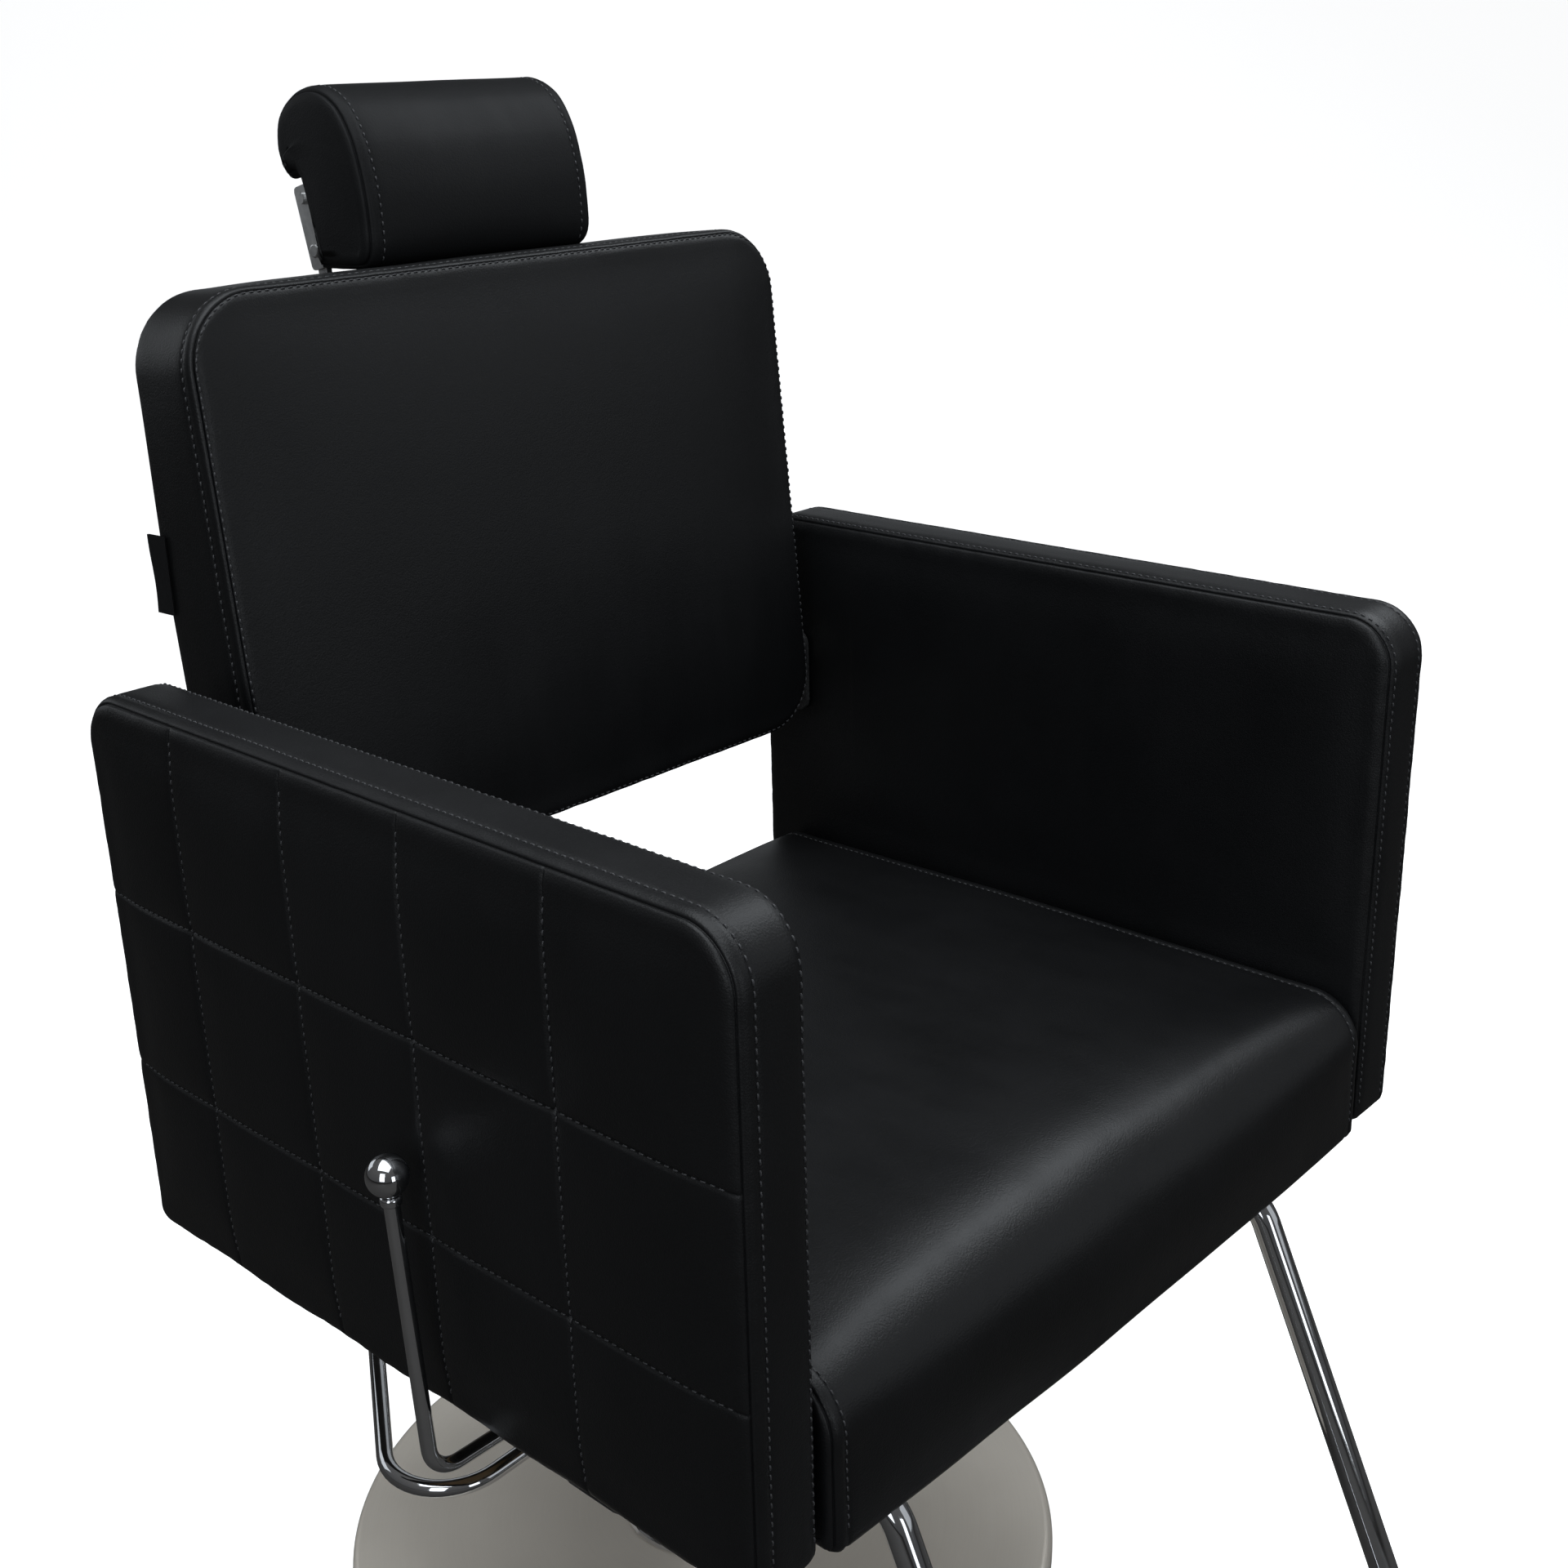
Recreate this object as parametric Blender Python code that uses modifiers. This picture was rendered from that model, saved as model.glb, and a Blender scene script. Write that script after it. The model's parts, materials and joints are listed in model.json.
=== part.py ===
"""Salon styling chair with a reclining back, a headrest, a hydraulic pump and a round floor base.

Frame: metres, +Z up, the sitter looks along -Y. The origin is on the floor, on the pump's axis.
"""
import math

import bmesh
import bpy
from mathutils import Matrix, Vector

GAP = 0.0003                  # left between pieces that touch
RUNNING = 0.0005              # left around shafts that turn or slide

# Overall sizes
CHAIR_WIDTH = 0.650
ARM_THICKNESS = 0.051
ARM_FRONT = -0.376
ARM_REAR = 0.170
ARM_TOP = 0.7295
ARM_BOTTOM = 0.366
ARM_CORNER = 0.034
ARM_INNER = CHAIR_WIDTH / 2 - ARM_THICKNESS
ARM_MIDDLE = CHAIR_WIDTH / 2 - ARM_THICKNESS / 2
CORE_THICKNESS = 0.018

# Round base and pump
BASE_RADIUS = 0.269
BASE_HEIGHT = 0.014
BASE_SKIN = 0.002
BASE_HOLE = 0.054
COLLAR_FLARE = 0.010
COLLAR_WALL = 0.0025
COLLAR_RADIUS = 0.0595
COLLAR_TOP = 0.040
SLEEVE_RADIUS = 0.046
SLEEVE_TOP = 0.250
PUMP_RADIUS = 0.038
PISTON_RADIUS = 0.018
PISTON_FOOT = 0.075
PISTON_HEAD = 0.317

# Foot lever: a hoop that leaves the pump on the sitter's right, towards the rear
FOOT_LEVER_ANGLE = math.radians(146.1)
FOOT_LEVER_PIVOT_RADIUS = 0.058
FOOT_LEVER_HEIGHT = 0.175
HOOP_HALF_ANGLE = math.radians(35.9)
HOOP_REACH = 0.2339
HOOP_TUBE = 0.006
HOOP_BEND = 0.045

# Frame under the seat
HUB_RADIUS = 0.031
HUB_BOTTOM = 0.264
PLATE_BOTTOM = 0.3281
PLATE_THICKNESS = 0.006
RAIL_OFFSET = 0.085
RAIL_SECTION = 0.025
RAIL_FRONT = -0.275
RAIL_REAR = 0.130
CROSS_BAR_Y = (-0.245, 0.100)
CROSS_BAR_WIDTH = 0.050
CROSS_BAR_THICKNESS = 0.006
CROSS_BAR_HALF = 0.314
BOARD_THICKNESS = 0.018

# Seat
SEAT_HALF_WIDTH = 0.2715
SEAT_FRONT = -0.380
SEAT_REAR = 0.150
SEAT_TOP = 0.473
SEAT_CORNER = 0.030

# Back, in its own frame: origin on the recline axis, leaning back by BACK_LEAN
BACK_PIVOT = Vector((0.0, 0.135, 0.615))
BACK_LEAN = math.radians(5.34)
BACK_HALF_WIDTH = 0.249
BACK_BOTTOM = -0.0439
BACK_TOP = 0.3376
BACK_FRONT = -0.0428
BACK_DEPTH = 0.0693
BACK_CORNER = 0.047
BACK_CORE_HALF = 0.215
REAR_PANEL_DEPTH = 0.006

# Headrest, in its own frame: origin on the tilt axis, leaning back by HEADREST_LEAN
TILT_PIVOT = Vector((0.0, 0.2161, 0.9615))
HEADREST_LEAN = math.radians(14)
HEADREST_HALF_WIDTH = 0.096
BRACKET_SHEET = 0.002
FLANGE_OUTER = 0.089
POST_THICKNESS = 0.004
POST_DEPTH = 0.0096
POST_LENGTH = 0.222

# Gas strut between the seat frame and the back
STRUT_FOOT = Vector((0.0, 0.175, 0.345))
STRUT_HEAD = Vector((0.0, 0.228, 0.620))
STRUT_RADIUS = 0.011
STRUT_ROD_RADIUS = 0.005
STRUT_PIN_RADIUS = 0.004

# Recline lever on the sitter's right
LEVER_AXIS = Vector((0.0, -0.152, 0.3435))
LEVER_ROD = 0.0045
LEVER_X = -0.348
LEVER_BALL = Vector((LEVER_X, -0.139, 0.529))
LEVER_BALL_RADIUS = 0.012
LEVER_INNER_END = -0.108

# Footrest
FOOT_TUBE = 0.0095
FOOT_TUBE_X = 0.194
FOOT_TUBE_Z = 0.345
FOOT_BAR = Vector((0.0, -0.4777, 0.060))
FOOT_KNEE_Y = -0.3484

ROUND_STEPS = 32


# ---------------------------------------------------------------- scene and materials

def clear_scene():
    for old in list(bpy.data.objects):
        bpy.data.objects.remove(old, do_unlink=True)


def new_collection(name):
    collection = bpy.data.collections.new(name)
    bpy.context.scene.collection.children.link(collection)
    return collection


clear_scene()
CHAIR = new_collection("styling_chair")
CUTTERS = new_collection("cutters")


def principled(name, colour, roughness, metallic):
    """A material of its own for one sub-part."""
    material = bpy.data.materials.new(name)
    material.use_nodes = True
    shader = material.node_tree.nodes["Principled BSDF"]
    shader.inputs["Base Color"].default_value = (*colour, 1.0)
    shader.inputs["Roughness"].default_value = roughness
    shader.inputs["Metallic"].default_value = metallic
    return material


FINISHES = {
    "leatherette": ((0.018, 0.018, 0.020), 0.48, 0.0),
    "chrome": ((0.75, 0.75, 0.77), 0.08, 1.0),
    "stainless": ((0.62, 0.61, 0.59), 0.28, 1.0),
    "zinc_steel": ((0.55, 0.55, 0.56), 0.35, 1.0),
    "black_steel": ((0.03, 0.03, 0.032), 0.45, 0.0),
    "cast_iron": ((0.08, 0.08, 0.085), 0.60, 0.5),
    "plywood": ((0.50, 0.36, 0.20), 0.65, 0.0),
    "nylon": ((0.72, 0.71, 0.68), 0.50, 0.0),
    "label_cloth": ((0.03, 0.03, 0.03), 0.85, 0.0),
}


def add_piece(name, mesh, finish, parent=None):
    """Put a mesh into the chair as a named piece with its own material."""
    colour, roughness, metallic = FINISHES[finish]
    piece = bpy.data.objects.new(name, mesh)
    piece.data.materials.append(principled(name + "_" + finish, colour, roughness, metallic))
    CHAIR.objects.link(piece)
    piece.parent = parent
    return piece


def add_tool(name, mesh, parent=None):
    """Put a mesh among the cutters."""
    tool = bpy.data.objects.new(name, mesh)
    CUTTERS.objects.link(tool)
    tool.hide_render = True
    tool.display_type = "WIRE"
    tool.parent = parent
    return tool


def add_joint_empty(name, location, lean=0.0, turn=0.0, parent=None):
    """An empty on a joint's axis; lean tips it back, turn swings it about Z."""
    empty = bpy.data.objects.new(name, None)
    CHAIR.objects.link(empty)
    empty.parent = parent
    empty.location = location
    empty.rotation_euler = (-lean, 0.0, turn)
    return empty


# ---------------------------------------------------------------- shapes

def box_mesh(low, high):
    """A box between two corners."""
    low, high = Vector(low), Vector(high)
    size = high - low
    bm = bmesh.new()
    bmesh.ops.create_cube(bm, size=1.0)
    bmesh.ops.scale(bm, vec=size, verts=bm.verts)
    bmesh.ops.translate(bm, vec=(low + high) / 2, verts=bm.verts)
    mesh = bpy.data.meshes.new("box")
    bm.to_mesh(mesh)
    bm.free()
    return mesh


def slab_mesh(low, high, axis, corner, steps=6):
    """A box whose four edges along one axis are rounded with a large radius."""
    mesh = box_mesh(low, high)
    bm = bmesh.new()
    bm.from_mesh(mesh)
    along = [e for e in bm.edges if abs((e.verts[0].co - e.verts[1].co).normalized()[axis]) > 0.9]
    bmesh.ops.bevel(bm, geom=along, offset=corner, segments=steps, profile=0.5, affect="EDGES")
    bm.to_mesh(mesh)
    bm.free()
    return mesh


def rod_mesh(start, end, radius, steps=24):
    """A solid cylinder from one point to another."""
    start, end = Vector(start), Vector(end)
    span = end - start
    turn = Vector((0, 0, 1)).rotation_difference(span).to_matrix().to_4x4()
    bm = bmesh.new()
    bmesh.ops.create_cone(bm, cap_ends=True, segments=steps, radius1=radius, radius2=radius,
                          depth=span.length, matrix=Matrix.Translation((start + end) / 2) @ turn)
    mesh = bpy.data.meshes.new("rod")
    bm.to_mesh(mesh)
    bm.free()
    return mesh


def profile_mesh(points, closed):
    """Edges through (radius, height) points in the XZ plane."""
    mesh = bpy.data.meshes.new("profile")
    edges = [(i, i + 1) for i in range(len(points) - 1)]
    if closed:
        edges.append((len(points) - 1, 0))
    mesh.from_pydata([(r, 0.0, z) for r, z in points], edges, [])
    return mesh


def spin(piece, steps=ROUND_STEPS):
    """Turn a profile about its own Z axis."""
    screw = piece.modifiers.new("turned", "SCREW")
    screw.axis = "Z"
    screw.steps = steps
    screw.render_steps = steps
    screw.use_merge_vertices = True
    screw.merge_threshold = 0.00001
    screw.use_smooth_shade = True
    return piece


def add_turned(name, points, finish, closed=False, parent=None, steps=ROUND_STEPS):
    """A turned piece. An open profile starts and ends on the axis; a closed one is a ring."""
    return spin(add_piece(name, profile_mesh(points, closed), finish, parent), steps)


def soften(piece, width, segments=2):
    """Round off the sharp edges."""
    bevel = piece.modifiers.new("rounded_edges", "BEVEL")
    bevel.width = width
    bevel.segments = segments
    bevel.limit_method = "ANGLE"
    bevel.angle_limit = math.radians(40)
    return piece


def cut(piece, tool):
    return combine(piece, tool, "DIFFERENCE")


def weld_on(piece, tool):
    return combine(piece, tool, "UNION")


def combine(piece, tool, operation):
    boolean = piece.modifiers.new(operation.lower(), "BOOLEAN")
    boolean.operation = operation
    boolean.object = tool
    boolean.solver = "EXACT"
    return piece


def arc_points(centre, radius, start_deg, end_deg, count):
    """Points (a, b) along an arc, ends included."""
    angles = [math.radians(start_deg + (end_deg - start_deg) * i / count) for i in range(count + 1)]
    return [(centre[0] + radius * math.cos(a), centre[1] + radius * math.sin(a)) for a in angles]


def bent_path(corners, bend, steps=7):
    """Straight runs through the corners, with a round bend at each inner one."""
    corners = [Vector(c) for c in corners]
    path = [corners[0]]
    for before, corner, after in zip(corners, corners[1:], corners[2:]):
        back = (before - corner).normalized()
        ahead = (after - corner).normalized()
        half = back.angle(ahead) / 2
        centre = corner + (back + ahead).normalized() * bend / math.sin(half)
        first = corner + back * bend / math.tan(half) - centre
        last = corner + ahead * bend / math.tan(half) - centre
        sweep = first.angle(last)
        for i in range(steps + 1):
            t = i / steps
            point = first * math.sin((1 - t) * sweep) + last * math.sin(t * sweep)
            path.append(centre + point / math.sin(sweep))
    path.append(corners[-1])
    return path


def add_tube(name, points, radius, finish, parent=None, ring=2):
    """A round bar or tube along a path."""
    curve = bpy.data.curves.new(name, "CURVE")
    curve.dimensions = "3D"
    curve.bevel_depth = radius
    curve.bevel_resolution = ring
    curve.use_fill_caps = True
    spline = curve.splines.new("POLY")
    spline.points.add(len(points) - 1)
    for spot, point in zip(spline.points, points):
        spot.co = (*point, 1.0)
    colour, roughness, metallic = FINISHES[finish]
    curve.materials.append(principled(name + "_" + finish, colour, roughness, metallic))
    piece = bpy.data.objects.new(name, curve)
    CHAIR.objects.link(piece)
    piece.parent = parent
    return piece


def prism_mesh(outline, half_width):
    """A closed (y, z) outline made solid across X, symmetric about the middle plane."""
    curve = bpy.data.curves.new("outline", "CURVE")
    curve.dimensions = "2D"
    curve.fill_mode = "BOTH"
    curve.extrude = half_width
    spline = curve.splines.new("POLY")
    spline.points.add(len(outline) - 1)
    for spot, (across, up) in zip(spline.points, outline):
        spot.co = (across, up, 0.0, 1.0)
    spline.use_cyclic_u = True
    holder = bpy.data.objects.new("outline", curve)
    bpy.context.scene.collection.objects.link(holder)
    bpy.context.view_layer.update()
    mesh = bpy.data.meshes.new_from_object(holder.evaluated_get(bpy.context.evaluated_depsgraph_get()))
    bpy.data.objects.remove(holder, do_unlink=True)
    stand_up = Matrix(((0, 0, 1, 0), (1, 0, 0, 0), (0, 1, 0, 0), (0, 0, 0, 1)))
    bm = bmesh.new()
    bm.from_mesh(mesh)
    bmesh.ops.remove_doubles(bm, verts=bm.verts, dist=0.00001)
    bmesh.ops.transform(bm, matrix=stand_up, verts=bm.verts)
    bmesh.ops.recalc_face_normals(bm, faces=bm.faces)
    bm.to_mesh(mesh)
    bm.free()
    return mesh


# ---------------------------------------------------------------- floor base and pump

def build_base():
    plate_radius = BASE_RADIUS - BASE_SKIN - 0.004
    plate_top = BASE_HEIGHT - BASE_SKIN - 0.002
    soften(add_turned("base_plate", [(0, plate_top), (plate_radius, plate_top), (plate_radius, 0), (0, 0)],
                      "cast_iron", steps=48), 0.001, 1)
    edge = 0.007
    inner_edge = edge - BASE_SKIN
    crown = BASE_HEIGHT + 0.004
    rim = arc_points((BASE_RADIUS - edge, BASE_HEIGHT - edge), edge, 90, 0, 3)
    inner_rim = arc_points((BASE_RADIUS - edge, BASE_HEIGHT - edge), inner_edge, 0, 90, 2)
    outside = [(BASE_HOLE, crown), (BASE_RADIUS * 0.6, crown - 0.001)] + rim
    outside.append((BASE_RADIUS, 0.0005))
    inside = [(BASE_RADIUS - BASE_SKIN, 0.0005)] + inner_rim
    inside += [(BASE_RADIUS * 0.6, crown - 0.001 - BASE_SKIN), (BASE_HOLE, crown - BASE_SKIN)]
    add_turned("base_cover", outside + inside, "stainless", closed=True, steps=56)


def build_pump():
    floor = BASE_HEIGHT - BASE_SKIN - 0.002 + GAP
    bore = PISTON_RADIUS + RUNNING
    add_turned("pump_body", [(bore, SLEEVE_TOP - 0.012), (PUMP_RADIUS, SLEEVE_TOP - 0.012),
                             (PUMP_RADIUS, floor + 0.006), (0.052, floor + 0.006), (0.052, floor),
                             (0, floor), (0, PISTON_FOOT - 0.004), (bore, PISTON_FOOT - 0.004)],
               "black_steel", closed=True)
    seat_z = BASE_HEIGHT + 0.0046
    skirt = arc_points((SLEEVE_RADIUS + COLLAR_FLARE, seat_z + COLLAR_FLARE), COLLAR_FLARE, 180, 270, 4)
    collar = [(SLEEVE_RADIUS + GAP, COLLAR_TOP), (SLEEVE_RADIUS + COLLAR_WALL, COLLAR_TOP)]
    collar += [(r + COLLAR_WALL, z + COLLAR_WALL) for r, z in skirt]
    collar += [(COLLAR_RADIUS, seat_z), (SLEEVE_RADIUS + GAP, seat_z)]
    add_turned("pump_collar", collar, "chrome", closed=True)
    lip = bore + 0.001
    add_turned("pump_sleeve", [(lip, SLEEVE_TOP), (SLEEVE_RADIUS - 0.004, SLEEVE_TOP),
                               (SLEEVE_RADIUS, SLEEVE_TOP - 0.004), (SLEEVE_RADIUS, 0.0170),
                               (SLEEVE_RADIUS - 0.0018, 0.0170), (SLEEVE_RADIUS - 0.0018, SLEEVE_TOP - 0.003),
                               (lip, SLEEVE_TOP - 0.003)], "chrome", closed=True)
    add_turned("pump_piston", [(0, PISTON_HEAD), (PISTON_RADIUS - 0.001, PISTON_HEAD),
                               (PISTON_RADIUS, PISTON_HEAD - 0.001), (PISTON_RADIUS, PISTON_FOOT),
                               (0, PISTON_FOOT)], "chrome")


def build_foot_lever():
    out = Vector((math.cos(FOOT_LEVER_ANGLE), math.sin(FOOT_LEVER_ANGLE), 0.0))
    pivot = out * FOOT_LEVER_PIVOT_RADIUS + Vector((0, 0, FOOT_LEVER_HEIGHT))
    axis = add_joint_empty("foot_lever_axis", pivot, turn=FOOT_LEVER_ANGLE)
    yoke_half = 0.058
    ear = 0.005
    pin = 0.0045

    # The bracket hugs the sleeve: a block cut by the sleeve's round, with an ear at each end.
    back = SLEEVE_RADIUS + GAP - FOOT_LEVER_PIVOT_RADIUS
    bracket = add_piece("foot_lever_bracket", box_mesh((back - 0.008, -yoke_half - ear - 0.001, -0.018),
                                                       (0.009, yoke_half + ear + 0.001, 0.018)),
                        "black_steel", axis)
    soften(bracket, 0.0015, 1)
    cut(bracket, add_tool("yoke_room", box_mesh((back + 0.0035, -yoke_half - 0.001, -0.03),
                                                (0.03, yoke_half + 0.001, 0.03)), axis))
    cut(bracket, add_tool("sleeve_room", rod_mesh((-FOOT_LEVER_PIVOT_RADIUS, 0, -0.03),
                                                  (-FOOT_LEVER_PIVOT_RADIUS, 0, 0.03),
                                                  SLEEVE_RADIUS + GAP, 64), axis))
    cut(bracket, add_tool("bracket_pin_hole", rod_mesh((0, -0.08, 0), (0, 0.08, 0), pin + GAP), axis))
    add_piece("foot_lever_pin", rod_mesh((0, -yoke_half - 0.009, 0), (0, yoke_half + 0.009, 0), pin),
              "zinc_steel", axis)

    # The yoke is rounded about the pin, so that it clears the bracket's web as it turns.
    yoke_height = 0.0078
    yoke = add_piece("foot_lever_yoke", slab_mesh((-yoke_height, -yoke_half, -yoke_height),
                                                  (0.011, yoke_half, yoke_height), 1, 0.0075, 4),
                     "chrome", axis)
    cut(yoke, add_tool("yoke_pin_hole", rod_mesh((0, -0.08, 0), (0, 0.08, 0), pin + RUNNING), axis))

    # The hoop's ends sit in two slanted sockets in the yoke.
    start = 0.0095
    spread = math.tan(HOOP_HALF_ANGLE)
    reach = HOOP_REACH - FOOT_LEVER_PIVOT_RADIUS
    near = (start + FOOT_LEVER_PIVOT_RADIUS) * spread
    for side in (-1, 1):
        leg = Vector((math.cos(HOOP_HALF_ANGLE), side * math.sin(HOOP_HALF_ANGLE), 0))
        foot = Vector((start, side * near, 0))
        cut(yoke, add_tool("hoop_socket", rod_mesh(foot - leg * GAP, foot + leg * 0.03, HOOP_TUBE + GAP), axis))
    far = HOOP_REACH * spread
    corners = [(start, -near, 0), (reach, -far, 0), (reach, far, 0), (start, near, 0)]
    add_tube("foot_lever_hoop", bent_path(corners, HOOP_BEND, 6), HOOP_TUBE, "chrome", axis)


# ---------------------------------------------------------------- frame under the seat

def build_seat_frame():
    seat = add_joint_empty("swivel_axis", (0, 0, PLATE_BOTTOM))
    hub_top = -GAP
    hub_foot = HUB_BOTTOM - PLATE_BOTTOM
    socket = PISTON_HEAD - PLATE_BOTTOM + GAP
    bore = PISTON_RADIUS + RUNNING
    add_turned("swivel_hub", [(0, hub_top), (0.052, hub_top), (0.052, hub_top - 0.006),
                              (HUB_RADIUS, hub_top - 0.012), (HUB_RADIUS, hub_foot), (bore, hub_foot),
                              (bore, socket), (0, socket)], "black_steel", closed=True, parent=seat)
    add_piece("mount_plate", slab_mesh((-0.105, -0.105, 0), (0.105, 0.105, PLATE_THICKNESS), 2, 0.012, 3),
              "black_steel", seat)
    rail_bottom = PLATE_THICKNESS + GAP
    rail_top = rail_bottom + RAIL_SECTION
    for side, name in ((-1, "right"), (1, "left")):
        middle = side * RAIL_OFFSET
        half = RAIL_SECTION / 2
        rail = add_piece("seat_rail_" + name, box_mesh((middle - half, RAIL_FRONT, rail_bottom),
                                                       (middle + half, RAIL_REAR, rail_top)),
                         "black_steel", seat)
        soften(rail, 0.002, 2)
    bar_bottom = rail_top + GAP
    bar_top = bar_bottom + CROSS_BAR_THICKNESS
    for y, name in zip(CROSS_BAR_Y, ("front", "rear")):
        add_piece("cross_bar_" + name,
                  slab_mesh((-CROSS_BAR_HALF, y - CROSS_BAR_WIDTH / 2, bar_bottom),
                            (CROSS_BAR_HALF, y + CROSS_BAR_WIDTH / 2, bar_top), 2, 0.008, 3),
                  "black_steel", seat)
        for side, hand in ((-1, "right"), (1, "left")):
            spot = (side * ARM_MIDDLE, y)
            washer = 0.0015
            head = 0.0055
            bolt = add_piece("arm_bolt_" + name + "_" + hand,
                             rod_mesh((*spot, bar_bottom - GAP - washer - head),
                                      (*spot, bar_bottom - GAP - washer), 0.0075, 6), "zinc_steel", seat)
            weld_on(bolt, add_tool("washer", rod_mesh((*spot, bar_bottom - GAP - washer - 0.001),
                                                      (*spot, bar_bottom - GAP), 0.011, 20), seat))
    return seat


def build_seat(seat):
    low = ARM_BOTTOM - PLATE_BOTTOM
    board_top = low + BOARD_THICKNESS
    board = add_piece("seat_board", slab_mesh((-0.262, SEAT_FRONT + 0.035, low), (0.262, 0.130, board_top),
                                              2, 0.020, 4), "plywood", seat)
    soften(board, 0.0015, 1)
    top = SEAT_TOP - PLATE_BOTTOM
    front_lip = SEAT_FRONT + 0.0345
    rear_drop = 0.006
    outline = [(front_lip, low), (front_lip, board_top + GAP), (SEAT_REAR - 0.008, board_top + GAP)]
    outline += [(SEAT_REAR, board_top + 0.008)]
    outline += arc_points((SEAT_REAR - SEAT_CORNER, top - rear_drop - SEAT_CORNER), SEAT_CORNER, 0, 90, 6)
    outline += [(-0.080, top - 0.001), (-0.250, top)]
    outline += arc_points((SEAT_FRONT + SEAT_CORNER, top - SEAT_CORNER), SEAT_CORNER, 90, 180, 7)
    outline += [(SEAT_FRONT, low + 0.006), (SEAT_FRONT + 0.006, low)]
    soften(add_piece("seat_cushion", prism_mesh(outline, SEAT_HALF_WIDTH), "leatherette", seat), 0.006, 2)


def build_arms(seat):
    low = ARM_BOTTOM - PLATE_BOTTOM
    top = ARM_TOP - PLATE_BOTTOM
    for side, name in ((-1, "right"), (1, "left")):
        middle = side * ARM_MIDDLE
        half = ARM_THICKNESS / 2
        arm = add_piece("arm_pad_" + name, box_mesh((middle - half, ARM_FRONT, low),
                                                    (middle + half, ARM_REAR, top)), "leatherette", seat)
        round_arm_corners(arm.data)
        soften(arm, 0.006, 2)
        core_half = CORE_THICKNESS / 2
        room = core_half + GAP
        cut(arm, add_tool("arm_room_" + name, box_mesh((middle - room, ARM_FRONT + 0.030, low - 0.01),
                                                       (middle + room, ARM_REAR - 0.030, top - 0.030)), seat))
        add_piece("arm_core_" + name, box_mesh((middle - core_half, ARM_FRONT + 0.030 + GAP, low),
                                               (middle + core_half, ARM_REAR - 0.030 - GAP,
                                                top - 0.030 - GAP)), "plywood", seat)


def round_arm_corners(mesh):
    """Large radius on the two upper corners of an arm, a small one on the lower corners."""
    bm = bmesh.new()
    bm.from_mesh(mesh)
    top = max(v.co.z for v in bm.verts)
    across = [e for e in bm.edges if abs((e.verts[0].co - e.verts[1].co).normalized().x) > 0.9]
    upper = [e for e in across if e.verts[0].co.z > top - 0.001]
    bmesh.ops.bevel(bm, geom=upper, offset=ARM_CORNER, segments=6, profile=0.5, affect="EDGES")
    low = min(v.co.z for v in bm.verts)
    across = [e for e in bm.edges if abs((e.verts[0].co - e.verts[1].co).normalized().x) > 0.9]
    lower = [e for e in across if e.verts[0].co.z < low + 0.001]
    bmesh.ops.bevel(bm, geom=lower, offset=0.012, segments=3, profile=0.5, affect="EDGES")
    bm.to_mesh(mesh)
    bm.free()


def build_footrest(seat):
    height = FOOT_TUBE_Z - PLATE_BOTTOM
    tail = -0.205
    bar_z = FOOT_BAR.z - PLATE_BOTTOM
    corners = []
    for x in (FOOT_TUBE_X, -FOOT_TUBE_X):
        leg = [(x, tail, height), (x, FOOT_KNEE_Y, height), (x, FOOT_BAR.y, bar_z)]
        corners += leg if x > 0 else leg[::-1]
    add_tube("footrest_tube", bent_path(corners, 0.034, 5), FOOT_TUBE, "chrome", seat)
    rail_top = PLATE_THICKNESS + GAP + RAIL_SECTION
    for side, name in ((-1, "right"), (1, "left")):
        x = side * FOOT_TUBE_X
        y = CROSS_BAR_Y[0]
        clamp = add_piece("footrest_clamp_" + name,
                          box_mesh((x - 0.020, y - 0.018, height - 0.0125), (x + 0.020, y + 0.018, rail_top)),
                          "zinc_steel", seat)
        soften(clamp, 0.0025, 2)
        cut(clamp, add_tool("clamp_bore_" + name, rod_mesh((x, y - 0.04, height), (x, y + 0.04, height),
                                                           FOOT_TUBE + GAP, 32), seat))


# ---------------------------------------------------------------- recline lever

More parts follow.
